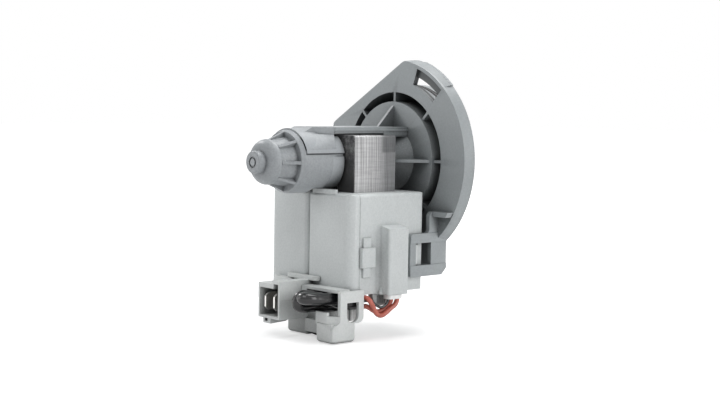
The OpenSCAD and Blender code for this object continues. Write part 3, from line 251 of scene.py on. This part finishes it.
def worn_edges(m, share):
    """Convex edges, which are rubbed lighter."""
    pointed = m.add("ShaderNodeNewGeometry")["Pointiness"]
    return m.product(m.ramp(pointed, (0.505, 0), (0.56, 1)), share)


def painted_pocket_shade(m, share):
    """Painted shade: mask of the bayonet pocket's walls and floor."""
    radius = m.math("SQRT", m.math("ADD", m.product(m.x, m.x), m.product(m.z, m.z)))
    angle = m.math("ARCTAN2", m.z, m.x)
    limits = [("GREATER_THAN", radius, POCKET_RADII[0] * MM),
              ("LESS_THAN", radius, POCKET_RADII[1] * MM),
              ("GREATER_THAN", angle, math.radians(POCKET_ANGLES[0])),
              ("LESS_THAN", angle, math.radians(POCKET_ANGLES[1])),
              ("GREATER_THAN", m.y, POCKET_RIM * MM)]
    return m.product(share, *(m.math(*limit) for limit in limits))


def painted_recess_shade(m, share, reach, open_at=0.75, front_only=False):
    """Painted shade in hollows with walls within reach, in millimetres; faces more open than open_at stay
    clear.
    """
    openness = m.add("ShaderNodeAmbientOcclusion", {"Distance": reach * MM}, samples=8)["AO"]
    amount = m.product(m.ramp(openness, (0.15, 1), (open_at, 0)), share)
    if front_only:
        amount = m.product(amount, m.map_range(m.y, RECESS_FADE[0] * MM, RECESS_FADE[1] * MM))
    return amount


def moulded(name, base, rough=0.5, grain=1.0, speck=0.0, wear=0.12, soft=0.25, pocket=0.0, recess=None):
    """Moulded plastic: flow clouds, fine grain, rubbed edges rounded by soft millimetres, painted shade in
    the bayonet pocket and in recesses.
    """
    m = Material(name)
    clouds = m.noise(**CLOUDS)
    tone = m.ramp(clouds, (0.3, scaled(base, CLOUD_DARK)), (0.7, scaled(base, CLOUD_LIGHT)))
    fine = m.ramp(m.noise(**FINE), (0.38, 0.42), (0.62, 0.58))
    color = m.mix(0.5, tone, fine, "OVERLAY")
    if speck:
        color = m.mix(specks(m, speck), color, scaled(base, SPECK_FACTOR, SPECK_LIFT))
    color = m.mix(worn_edges(m, wear), color, scaled(base, WORN_FACTOR, WORN_LIFT))
    # Painted shade on the walls and floor of the bayonet pocket.
    if pocket:
        color = m.mix(painted_pocket_shade(m, pocket), color, scaled(base, POCKET_SHADE_FACTOR))
    # Painted shade in hollows, where ambient occlusion finds walls near.
    if recess:
        color = m.mix(painted_recess_shade(m, **recess), color, scaled(base, RECESS_SHADE_FACTOR))
    rounded = m.add("ShaderNodeBevel", {"Radius": soft * MM}, samples=6)["Normal"]
    grained = m.bump(m.noise(**GRAIN), GRAIN_STRENGTH * grain, GRAIN_DEPTH, rounded)
    return m.finish({
        "Base Color": color,
        "Roughness": m.ramp(clouds, (0.25, rough - 0.06), (0.75, rough + 0.07)),
        "Normal": m.bump(m.noise(**WAVES), WAVE_STRENGTH, WAVE_DEPTH, grained),
        "IOR": PLASTIC_IOR,
        "Specular IOR Level": PLASTIC_GLOSS,
    })


# Punched sheets
SHEET_STRIPES = dict(per_metre=2100, detail=0.0)
SCRATCHES = dict(per_metre=5200, detail=1.0)
BRUSHED = dict(scale=420, detail=4, rough=0.65, stretch=(1, 2.2, 0.10))
CROSSED = dict(scale=300, detail=3, rough=0.6, stretch=(1, 0.35, 5.5))
BLOTCHES = dict(scale=240, detail=4, rough=0.6, stretch=(1, 1.6, 0.5))
REAR_STAIN = dict(scale=330, detail=5, rough=0.7)
# Spans in millimetres that the painted shadows on the stack's side and the stain on its rear sheet are
# placed in, and where they start on them.
SHADOW_SPAN_Y = (-30, -10)
SHADOW_SPAN_Z = (-10, 10)
FRONT_SHADOW_FROM_Y = -24.5
SHADOW_PATCH_FROM_Z = 3.5
REAR_STAIN_Z = (-6, 8)
SHEET_TONES = [(0.28, (0.14, 0.14, 0.145)), (0.45, (0.30, 0.30, 0.305)), (0.62, (0.42, 0.42, 0.425))]
# Share and tones of the painted shadows on the stack's side, then the rear sheet's own dark tone.
SHADOW_SHARE = 0.6
FRONT_SHADOW_TONE = (0.115, 0.12, 0.125)
SHADOW_PATCH_TONE = (0.085, 0.088, 0.092)
REAR_TONE = (0.045, 0.045, 0.046)


def past(m, axis, span, start, before, after):
    """0 to 1 along an axis round start; before and after are shares of the span."""
    length = span[1] - span[0]
    per_metre = 1 / (length * MM)
    place = m.math("ADD", m.math("MULTIPLY", axis, per_metre), -span[0] * MM * per_metre)
    edge = (start - span[0]) / length
    return m.ramp(place, (edge - before, 0), (edge + after, 1))


def laminated(name):
    """Punched sheet edges: stripes brushed by the die, painted shadow over the front part, and a darker,
    blotchy painted shadow at the top of the front.
    """
    m = Material(name)
    sheets = m.stripes(m.y, **SHEET_STRIPES)
    scratches = m.stripes(m.y, **SCRATCHES)
    brushed = m.noise(**BRUSHED)
    crossed = m.noise(**CROSSED)
    tone = m.ramp(sheets, *SHEET_TONES)
    color = m.mix(0.45, tone, m.ramp(scratches, (0.3, (0.25, 0.25, 0.255)), (0.65, 0.62)))
    color = m.mix(0.4, color, m.ramp(brushed, (0.35, 0.25), (0.65, 0.75)), "OVERLAY")
    color = m.mix(0.25, color, m.ramp(crossed, (0.4, 0.35), (0.62, 0.7)), "OVERLAY")
    # Painted shadow: the front part of the stack's side is darker.
    front_shadow = past(m, m.y, SHADOW_SPAN_Y, FRONT_SHADOW_FROM_Y, 0.16, 0.12)
    color = m.mix(m.product(front_shadow, SHADOW_SHARE), color, FRONT_SHADOW_TONE)
    # Painted shadow: a darker blotchy patch at the top of the front part.
    front = past(m, m.y, SHADOW_SPAN_Y, FRONT_SHADOW_FROM_Y, 0.02, 0.02)
    upper = past(m, m.z, SHADOW_SPAN_Z, SHADOW_PATCH_FROM_Z, 0.02, 0.01)
    blotches = m.ramp(m.noise(**BLOTCHES), (0.34, 0.7), (0.56, 1))
    color = m.mix(m.product(front, upper, blotches, SHADOW_SHARE), color, SHADOW_PATCH_TONE)
    return m.finish({
        "Base Color": color,
        "Metallic": 0.75,
        "Roughness": m.ramp(brushed, (0.3, 0.36), (0.7, 0.55)),
        "Normal": m.bump(brushed, 0.25, 0.03, m.bump(sheets, 0.5, 0.06)),
    })


def end_sheet(name):
    """Flat face of the rear sheet: dark, matte, with a rough stain in its upper part."""
    m = Material(name)
    stain = m.noise(**REAR_STAIN)
    tone = m.ramp(stain, (0.34, (0.035, 0.035, 0.036)), (0.5, (0.1, 0.1, 0.102)), (0.66, 0.3))
    height = m.map_range(m.z, REAR_STAIN_Z[0] * MM, REAR_STAIN_Z[1] * MM)
    return m.finish({
        "Base Color": m.mix(height, REAR_TONE, tone),
        "Metallic": 0.3,
        "Roughness": 0.6,
        "Normal": m.bump(stain, 0.4, 0.05),
    })


# Leads, rubber and metal
SKIN_CLOUDS = dict(scale=260, detail=4, rough=0.6)
SKIN_MARKS = dict(scale=1500, detail=3, rough=0.6)
METAL_LINES = dict(scale=900, detail=4, rough=0.6)


def skin(name, base, rough, coat=0.0):
    """Lead insulation, rubber or ferrite, with faint marks and dull patches."""
    m = Material(name)
    clouds = m.noise(**SKIN_CLOUDS)
    return m.finish({
        "Base Color": m.ramp(clouds, (0.3, scaled(base, 0.8)), (0.7, scaled(base, 1.15))),
        "Roughness": m.ramp(clouds, (0.35, rough), (0.7, rough + 0.14)),
        "Normal": m.bump(m.noise(**SKIN_MARKS), 0.18, 0.05),
        "Coat Weight": coat,
        "Coat Roughness": 0.2,
    })


def metal(name, base, rough, stretch):
    """Drawn, wound or turned metal, with lines across the stretched axis."""
    m = Material(name)
    lines = m.noise(**METAL_LINES, stretch=stretch)
    return m.finish({
        "Base Color": m.ramp(lines, (0.3, scaled(base, 0.75)), (0.7, base)),
        "Metallic": 1.0,
        "Roughness": m.ramp(lines, (0.3, rough), (0.7, rough + 0.18)),
        "Normal": m.bump(lines, 0.2, 0.02),
    })


# The body, cap, housing and terminal plastics get painted shade in their recesses, the body also in its
# bayonet pocket.
RECIPES = {
    "body_plastic": (moulded, dict(base=screen(147, 152, 154), rough=0.40, speck=0.6, wear=0.3, soft=0.12,
                                   pocket=0.75, recess=dict(share=0.83, reach=26, front_only=True))),
    "cap_plastic": (moulded, dict(base=screen(152, 156, 159), rough=0.38, speck=0.6, wear=0.3,
                                  recess=dict(share=0.85, reach=20))),
    "housing_plastic": (moulded, dict(base=screen(194, 198, 198), rough=0.42, grain=0.7, wear=0.25,
                                      soft=0.45, recess=dict(share=0.5, reach=5))),
    "terminal_plastic": (moulded, dict(base=screen(205, 208, 207), rough=0.42, grain=0.7, wear=0.25,
                                       soft=0.3, recess=dict(share=0.85, reach=12, open_at=0.42))),
    "former_plastic": (moulded, dict(base=screen(225, 224, 214), rough=0.45)),
    "protector_case": (moulded, dict(base=screen(228, 226, 215), rough=0.45)),
    "carrier_plastic": (moulded, dict(base=screen(70, 72, 74))),
    "hub_plastic": (moulded, dict(base=screen(62, 62, 64))),
    "washer_plastic": (moulded, dict(base=screen(205, 192, 160))),
    "dog_plastic": (moulded, dict(base=screen(222, 216, 198))),
    "impeller_plastic": (moulded, dict(base=screen(58, 60, 62), rough=0.42, grain=0.8)),
    "laminations": (laminated, {}),
    "end_sheet": (end_sheet, {}),
    "black_pvc": (skin, dict(base=(0.006, 0.006, 0.007), rough=0.14, coat=0.15)),
    "red_pvc": (skin, dict(base=screen(186, 93, 76), rough=0.34, coat=0.3)),
    "white_sleeving": (skin, dict(base=screen(246, 246, 244), rough=0.4)),
    "ring_rubber": (skin, dict(base=(0.016, 0.016, 0.017), rough=0.5)),
    "cup_rubber": (skin, dict(base=(0.02, 0.02, 0.02), rough=0.55)),
    "ferrite": (skin, dict(base=(0.035, 0.035, 0.038), rough=0.6)),
    "copper": (metal, dict(base=(0.62, 0.27, 0.12), rough=0.35, stretch=(1, 1, 14))),
    "tinned_tabs": (metal, dict(base=(0.78, 0.77, 0.74), rough=0.28, stretch=(1, 1, 6))),
    "bearing_carbon": (metal, dict(base=(0.08, 0.08, 0.085), rough=0.45, stretch=(1, 8, 1))),
    "shaft_steel": (metal, dict(base=(0.62, 0.63, 0.64), rough=0.22, stretch=(1, 10, 1))),
}
MATERIALS = {name: make(name, **values) for name, (make, values) in RECIPES.items()}
SLOT_OF = {part["node"]: part["material_slot"] for part in frame["record"]["subparts"]}


# Dressing and adding pieces
WELD = 1e-6
SHARP = 27
SADDLE_SHARP = 50


def smooth_group(limit):
    """Node group that shades curved faces smooth and keeps edges sharper than limit, in degrees."""
    group = bpy.data.node_groups.new(f"smooth_{limit}", "GeometryNodeTree")
    for way in ("INPUT", "OUTPUT"):
        group.interface.new_socket("Geometry", in_out=way, socket_type="NodeSocketGeometry")
    tree = Tree(group)
    mesh = tree.add("NodeGroupInput")[0]
    mesh = tree.add("GeometryNodeRemoveAttribute", {"Geometry": mesh, "Name": "custom_normal"})["Geometry"]
    mesh = tree.add("GeometryNodeMergeByDistance", {"Geometry": mesh, "Distance": WELD})["Geometry"]
    mesh = tree.add("GeometryNodeSetShadeSmooth", {"Geometry": mesh}, domain="FACE")["Geometry"]
    angle = tree.add("GeometryNodeInputMeshEdgeAngle")["Unsigned Angle"]
    sharp = tree.add("FunctionNodeCompare", {0: angle, 1: math.radians(limit)},
                     data_type="FLOAT", operation="GREATER_THAN")["Result"]
    flat = {"Geometry": mesh, "Selection": sharp, "Shade Smooth": False}
    mesh = tree.add("GeometryNodeSetShadeSmooth", flat, domain="EDGE")["Geometry"]
    tree.add("NodeGroupOutput", {0: mesh})
    return group


SMOOTH = {limit: smooth_group(limit) for limit in (SHARP, SADDLE_SHARP)}


def smooth(obj, limit=SHARP):
    """Shades a piece the way a moulded part looks: smooth rounds, sharp edges."""
    obj.modifiers.new("smooth", "NODES").node_group = SMOOTH[limit]


def dress(obj, slot):
    obj.data.materials.clear()
    obj.data.materials.append(MATERIALS[slot])


def add_piece(name, data, slot, *stands_for):
    """Links a new piece of the pump to its body and hides the nodes it stands for."""
    obj = bpy.data.objects.new(name, data)
    scene.collection.objects.link(obj)
    data.materials.append(MATERIALS[slot])
    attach(obj, BODY)
    if stands_for:
        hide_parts(*stands_for)
    return obj


def mesh_from(bm, name):
    """Turns what was built into a mesh, and frees the builder."""
    data = bpy.data.meshes.new(name)
    bm.to_mesh(data)
    bm.free()
    return data


def close_rings(bm, rings):
    """Walls between neighbouring rings of vertices, and an end face on the first and the last."""
    count = len(rings[0])
    bm.faces.new(rings[0])
    bm.faces.new(rings[-1][::-1])
    for low, high in zip(rings, rings[1:]):
        for k in range(count):
            after = (k + 1) % count
            bm.faces.new((low[k], high[k], high[after], low[after]))


for name, obj in nodes.items():
    dress(obj, SLOT_OF[name])
    smooth(obj, SADDLE_SHARP if name == "cap_saddle" else SHARP)


# Stack of laminations
SHEETS = 40
SHEET_GAP = 0.05
SHEET_GAP_SPREAD = (0.6, 1.6)
SHEET_SHIFT = 0.06
SHEET_SEED = 7
# A sheet moves sideways by a change of its width: by the full shift at this distance from the axis.
SHEET_REACH = 15
CORE_BORE_R = 8.2
CORE_BORE_TURNS = 48
CORE_LEG_IN = 6.5
CORE_CORNER_R = 1.0
CORE_CORNER_STEPS = 3


def core_outline(low, high):
    """Outline of one punched sheet in the XZ plane, in millimetres: two legs below a bored head."""
    half, bottom, top = high.x / MM, low.z / MM, high.z / MM
    points = [(CORE_LEG_IN, bottom), (half, bottom)]
    for side, start in ((1, 0), (-1, 90)):
        for k in range(CORE_CORNER_STEPS + 1):
            a = math.radians(start + 90 / CORE_CORNER_STEPS * k)
            points.append((side * (half - CORE_CORNER_R) + CORE_CORNER_R * math.cos(a),
                           top - CORE_CORNER_R + CORE_CORNER_R * math.sin(a)))
    points += [(-half, bottom), (-CORE_LEG_IN, bottom)]
    neck = math.asin(CORE_LEG_IN / CORE_BORE_R)
    for k in range(CORE_BORE_TURNS + 1):
        a = -math.pi / 2 - neck - (2 * math.pi - 2 * neck) * k / CORE_BORE_TURNS
        points.append((CORE_BORE_R * math.cos(a), CORE_BORE_R * math.sin(a)))
    return points


def add_sheets(name, numbers, rear, pitch, outline, draw):
    """The sheets with these numbers as one piece, each shifted a little in its own plane."""
    bm = bmesh.new()
    for i in numbers:
        dx, dz = draw.uniform(-SHEET_SHIFT, 0), draw.uniform(-SHEET_SHIFT, 0)
        back = rear + pitch * i
        front = back + pitch - SHEET_GAP * draw.uniform(*SHEET_GAP_SPREAD)
        widen = 1 + dx / SHEET_REACH
        rings = [[bm.verts.new((x * widen * MM, y * MM, (z + dz) * MM)) for x, z in outline]
                 for y in (back, front)]
        close_rings(bm, rings)
    bmesh.ops.recalc_face_normals(bm, faces=bm.faces)
    return add_piece(name, mesh_from(bm, name), "laminations", "stator_core")


def add_core():
    """The stack in the place of stator_core, its rear sheet with a look of its own."""
    low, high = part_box("stator_core")
    rear = low.y / MM
    pitch = (high.y / MM - rear) / SHEETS
    outline = core_outline(low, high)
    draw = random.Random(SHEET_SEED)
    rear_sheet = add_sheets("rear_sheet", range(1), rear, pitch, outline, draw)
    add_sheets("laminations", range(1, SHEETS), rear, pitch, outline, draw)
    dress(rear_sheet, "end_sheet")


add_core()


# Terminal carrier
# The solid ends at the short values, the real piece at the full ones.
TOUCH = 0.01
MOUTH_SHORT, MOUTH_FULL = -60.0, -61.72
SOLE_SHORT, SOLE_FULL = -60.0, -62.8
MOUTH_AREA = ((-9.2, MOUTH_SHORT - TOUCH, -56.5), (3.5, MOUTH_SHORT + TOUCH, -42.5))
SOLE_AREA = ((14.9, -54.8, SOLE_SHORT - TOUCH), (24.4, -44.4, SOLE_SHORT + TOUCH))
DECK_END_AREA = ((-20.5, -49, -44.6), (-19, -45, -42.9))
DECK_END_SHIFT = 3.4
DECK_UNDER_AREA = ((-20.5, -49, -44.6), (-9.3, -45, -44.4))
DECK_UNDER_SHIFT = -0.7
FEET = [((15.05, -54.7), (24.25, -44.5)), ((-8.8, -48.4), (3, -42))]
SOLE_EDGE = 1.2
SOLE_CUTS = (90, 67.5, 45, 22.5)
SOLE_MARGIN = 0.02
CUT_TOLERANCE = 1e-7


def pick(bm, area):
    """Vertices in an area, a pair of corners in millimetres."""
    low, high = area
    return [v for v in bm.verts if all(low[k] <= v.co[k] / MM <= high[k] for k in range(3))]


def round_sole(bm, low, high):
    """Cuts a foot just above its sole and draws the cuts in along a quarter circle."""
    def slab(height):
        return pick(bm, ((low[0] - SOLE_MARGIN, low[1] - SOLE_MARGIN, SOLE_FULL - TOUCH),
                         (high[0] + SOLE_MARGIN, high[1] + SOLE_MARGIN, SOLE_FULL + height + TOUCH)))

    for angle in SOLE_CUTS:
        faces = list({f for v in slab(0) for f in v.link_faces})
        edges = list({e for f in faces for e in f.edges})
        verts = list({v for f in faces for v in f.verts})
        lift = SOLE_EDGE * (1 - math.cos(math.radians(angle)))
        bmesh.ops.bisect_plane(bm, geom=verts + edges + faces, dist=CUT_TOLERANCE,
                               plane_co=(0, 0, (SOLE_FULL + lift) * MM), plane_no=(0, 0, 1))
    for v in slab(SOLE_EDGE):
        lift = min(max(v.co.z / MM - SOLE_FULL, 0), SOLE_EDGE)
        inset = SOLE_EDGE - math.sqrt(SOLE_EDGE ** 2 - (SOLE_EDGE - lift) ** 2)
        for k in (0, 1):
            middle, half = (low[k] + high[k]) / 2, (high[k] - low[k]) / 2
            v.co[k] = (middle + (v.co[k] / MM - middle) * (half - inset) / half) * MM


def add_terminal_carrier():
    """The carrier's solid with its mouth, near foot and deck as in the photograph, and rounded soles."""
    bm = bmesh.new()
    bm.from_mesh(nodes["terminal_carrier"].data)
    bmesh.ops.remove_doubles(bm, verts=bm.verts, dist=WELD)
    for v in pick(bm, MOUTH_AREA):
        v.co.y = MOUTH_FULL * MM
    for v in pick(bm, SOLE_AREA):
        v.co.z = SOLE_FULL * MM
    for v in pick(bm, DECK_END_AREA):
        v.co.x += DECK_END_SHIFT * MM
    for v in pick(bm, DECK_UNDER_AREA):
        v.co.z += DECK_UNDER_SHIFT * MM
    for low, high in FEET:
        round_sole(bm, low, high)
    carrier = add_piece("carrier", mesh_from(bm, "carrier"), "housing_plastic", "terminal_carrier")
    dress(carrier, "terminal_plastic")
    smooth(carrier)


add_terminal_carrier()


# Rims of the cap and the saddle, lug ramp and seal
RIM_REAR, RIM_FRONT = -44.6, -39.05
RIM_IN_R = 10
RIM_EDGE = 0.35
RIM_EDGE_MIDDLE = 0.1
CAP_RIM_R, CHANNEL_R, SADDLE_RIM_R = 11.42, 11.02, 11.92
CAP_RIM_LOW, CHANNEL_LOW, SADDLE_LOW, SADDLE_HIGH = -54, 10, 16, 50
SADDLE_REAR = min(v.co.y for v in nodes["cap_saddle"].data.vertices) / MM
LUG_RAMP = [(-3.6, 37.7), (-1.15, 38.78), (-1.15, 37.2), (-3.6, 37.2)]
LUG_LOW, LUG_HIGH = 46.8, 71.6
BOTH_SIDES, NEAR_SIDE = (1, -1), (1,)
ARC_STEP = 3
SEAL_SCALE = 0.965


def rim_profile(rear, radius):
    """Straight rim that ends in a rounded front edge."""
    return [(rear, radius), (RIM_FRONT - RIM_EDGE, radius),
            (RIM_FRONT - RIM_EDGE_MIDDLE, radius - RIM_EDGE_MIDDLE),
            (RIM_FRONT, radius - RIM_EDGE), (RIM_FRONT, RIM_IN_R), (rear, RIM_IN_R)]


def add_arc(name, slot, profile, low, high, sides=BOTH_SIDES):
    """Rim piece turned round the motor's axis from a profile of (Y, radius), between angles in degrees."""
    steps = max(4, round((high - low) / ARC_STEP))
    bm = bmesh.new()
    for side in sides:
        rings = []
        for k in range(steps + 1):
            a = math.radians(low + (high - low) * k / steps)
            rings.append([bm.verts.new((side * r * math.cos(a) * MM, y * MM, r * math.sin(a) * MM))
                          for y, r in profile])
        close_rings(bm, rings)
    bmesh.ops.recalc_face_normals(bm, faces=bm.faces)
    smooth(add_piece(name, mesh_from(bm, name), slot))


def add_seal():
    """The sealing ring, drawn in a little so that the bayonet pocket stays open to view."""
    data = nodes["sealing_ring"].data.copy()
    for v in data.vertices:
        v.co.x *= SEAL_SCALE
        v.co.z *= SEAL_SCALE
    data.materials.clear()
    smooth(add_piece("seal", data, "ring_rubber", "sealing_ring"))


add_arc("cap_rim", "cap_plastic", rim_profile(RIM_REAR, CAP_RIM_R), CAP_RIM_LOW, CHANNEL_LOW)
add_arc("cap_channel", "cap_plastic", rim_profile(RIM_REAR, CHANNEL_R), CHANNEL_LOW, SADDLE_LOW)
add_arc("saddle_rim", "cap_plastic", rim_profile(SADDLE_REAR, SADDLE_RIM_R), SADDLE_LOW, SADDLE_HIGH)
add_arc("lug_ramp", "body_plastic", LUG_RAMP, LUG_LOW, LUG_HIGH, NEAR_SIDE)
add_seal()


# Leads
NEAR_SLEEVE_D = 4.2
FAR_SLEEVE_D = 3.6
LEAD_D = 1.8
THIN_D = 0.95
ROUND_STEPS = 8
CURVE_STEPS = 10
NEAR_SLEEVE = [(19.4, -47.2, -48), (19.3, -50, -47.8), (19.2, -54, -47.4), (19, -58, -47.1),
               (18.6, -60.6, -46.9), (17.1, -62.2, -46.8), (15.4, -60.8, -46.8),
               (14.9, -58, -47), (14.9, -54, -47.4), (14.9, -50, -48), (15.1, -47, -48.9),
               (15.9, -43.9, -50.1), (17.6, -40.6, -50.4), (19.3, -38, -50.2)]
FAR_SLEEVE = [(10.5, -46.9, -47.6), (10.5, -51, -47.4), (10.5, -54.6, -47),
              (10.5, -57.6, -46.8), (10.5, -59.2, -47.8), (10.5, -59.6, -49.2),
              (10.5, -58.9, -50.6), (10.5, -56.8, -51.3), (10.5, -53, -51.3),
              (10.5, -49, -51.6), (11, -45.4, -51.9), (12.6, -42.6, -52.1), (15, -41, -52.2)]
RED_LEAD_A = [(18.9, -38.6, -49.6), (20.4, -38.9, -48.6), (21.9, -39.2, -47.9),
              (23.7, -38.7, -47.7), (24.8, -38.1, -48.6), (25.3, -37.2, -50.3),
              (25.5, -36.2, -52.3), (25.6, -34.9, -53.7), (25.6, -33.2, -54.2), (25.6, -31, -53.5),
              (25.7, -28.7, -52), (25.8, -26.5, -50.6), (25.7, -25.6, -48.8), (25.6, -25.4, -42.9)]
RED_LEAD_B = [(18.9, -38.4, -50.9), (20.3, -38.6, -51.2), (21.6, -38.5, -51),
              (22.8, -37.9, -50.9), (23.4, -36.6, -51.6), (23.6, -35, -52.6), (23.6, -33.3, -53.1),
              (23.7, -31.3, -52.9), (23.9, -29.4, -52), (24.3, -28, -50.4),
              (24.7, -27.6, -48.8), (24.8, -27.5, -42.9)]
THIN_LEAD = [(18.9, -38.6, -50.2), (20.4, -38.9, -49.8), (21.6, -38.8, -49.3),
             (22.6, -38, -49), (23.3, -36.8, -49.1), (23.9, -35.4, -49.9),
             (24.4, -33.9, -50.9), (24.7, -32.4, -51.5), (24.9, -30.9, -51), (25, -29.7, -49.9),
             (25, -29.3, -48.6), (25, -29.2, -42.9)]


def add_lead(name, points, thickness, slot, node):
    """Round lead on a smooth curve through its points, given in millimetres."""
    data = bpy.data.curves.new(name, "CURVE")
    data.dimensions = "3D"
    data.bevel_depth = thickness / 2 * MM
    data.bevel_resolution = ROUND_STEPS
    data.use_fill_caps = True
    data.resolution_u = CURVE_STEPS
    line = data.splines.new("BEZIER")
    line.bezier_points.add(len(points) - 1)
    for knot, place in zip(line.bezier_points, points):
        knot.co = Vector(place) * MM
        knot.handle_left_type = knot.handle_right_type = "AUTO"
    add_piece(name, data, slot, node)


add_lead("near_sleeve", NEAR_SLEEVE, NEAR_SLEEVE_D, "black_pvc", "black_sleeves")
add_lead("far_sleeve", FAR_SLEEVE, FAR_SLEEVE_D, "black_pvc", "black_sleeves")
add_lead("red_lead_a", RED_LEAD_A, LEAD_D, "red_pvc", "red_leads")
add_lead("red_lead_b", RED_LEAD_B, LEAD_D, "red_pvc", "red_leads")
add_lead("thin_black_lead", THIN_LEAD, THIN_D, "black_pvc", "thin_lead")


# Floor, background and lights
FLOOR_SIZE = 3
FLOOR_GAP = 0.2
FLOOR_TONE = (0.8, 0.8, 0.8)
FLOOR_GLOW_NEAR, FLOOR_GLOW_FAR = 0.5, 1.0
FLOOR_NEAR, FLOOR_FAR = 0.12, 0.55
WHITE = (1, 1, 1)
SKY_TONE = (0.95, 0.97, 1.0)
SKY_FILL = 0.09
AIM = Vector((0, -0.03, -0.015))
LIGHTS = [
    ("key", (0.85, 0.20, 0.26), (0.5, 0.6), 3.6),
    ("top", (-0.05, 0.32, 0.80), (0.5, 0.5), 5.3),
    ("front_top", (0.20, -0.55, 0.72), (0.5, 0.5), 2.3),
    ("left", (-0.55, -0.72, 0.15), (0.5, 0.6), 1.4),
    ("far", (-0.80, -0.14, 0.60), (0.25, 0.25), 3.2),
]


def seen_direct(tree):
    """Socket that is 1 for what the camera sees directly, in a reflection or through glass."""
    path = tree.add("ShaderNodeLightPath")
    total = path["Is Camera Ray"]
    for way in ("Is Glossy Ray", "Is Transmission Ray"):
        total = tree.math("ADD", total, path[way], clamp=True)
    return total


def floor_material():
    """Pale ground that keeps the pump's shadow and fades to white away from it."""
    material = bpy.data.materials.new("floor")
    material.use_nodes = True
    tree = Tree(material.node_tree)
    place = tree.add("ShaderNodeTexCoord")["Object"]
    away = tree.add("ShaderNodeVectorMath", {0: place}, operation="LENGTH")["Value"]
    glow = tree.map_range(away, FLOOR_NEAR, FLOOR_FAR, FLOOR_GLOW_NEAR, FLOOR_GLOW_FAR)
    ground = tree.add("ShaderNodeBsdfDiffuse", {"Color": FLOOR_TONE})["BSDF"]
    light = tree.add("ShaderNodeEmission", {"Strength": tree.product(seen_direct(tree), glow)})["Emission"]
    both = tree.add("ShaderNodeAddShader", {0: ground, 1: light})["Shader"]
    tree.add("ShaderNodeOutputMaterial", {"Surface": both})
    return material


def add_floor():
    bm = bmesh.new()
    bmesh.ops.create_grid(bm, x_segments=1, y_segments=1, size=FLOOR_SIZE)
    data = mesh_from(bm, "floor")
    floor = bpy.data.objects.new("floor", data)
    floor.location = (0, 0, cad_box[0].z - FLOOR_GAP * MM)
    scene.collection.objects.link(floor)
    data.materials.append(floor_material())


def add_world():
    """White where it is seen directly, and a faint cool fill everywhere else."""
    scene.world = bpy.data.worlds.new("studio")
    scene.world.use_nodes = True
    tree = Tree(scene.world.node_tree)
    fill = tree.add("ShaderNodeBackground", {"Color": SKY_TONE, "Strength": SKY_FILL})["Background"]
    seen = tree.add("ShaderNodeBackground", {"Color": WHITE, "Strength": 1.0})["Background"]
    sky = tree.add("ShaderNodeMixShader", {0: seen_direct(tree), 1: fill, 2: seen})["Shader"]
    tree.add("ShaderNodeOutputWorld", {"Surface": sky})


def add_softbox(name, place, size, power):
    """Soft rectangular light, aimed at the pump; place and size in metres, power in watts."""
    data = bpy.data.lights.new(name, "AREA")
    data.shape = "RECTANGLE"
    data.size, data.size_y = size
    data.energy = power
    light = bpy.data.objects.new(name, data)
    light.location = place
    light.rotation_euler = (AIM - Vector(place)).to_track_quat("-Z", "Y").to_euler()
    scene.collection.objects.link(light)


add_floor()
add_world()
for light in LIGHTS:
    add_softbox(*light)

scene.view_settings.view_transform = "Standard"
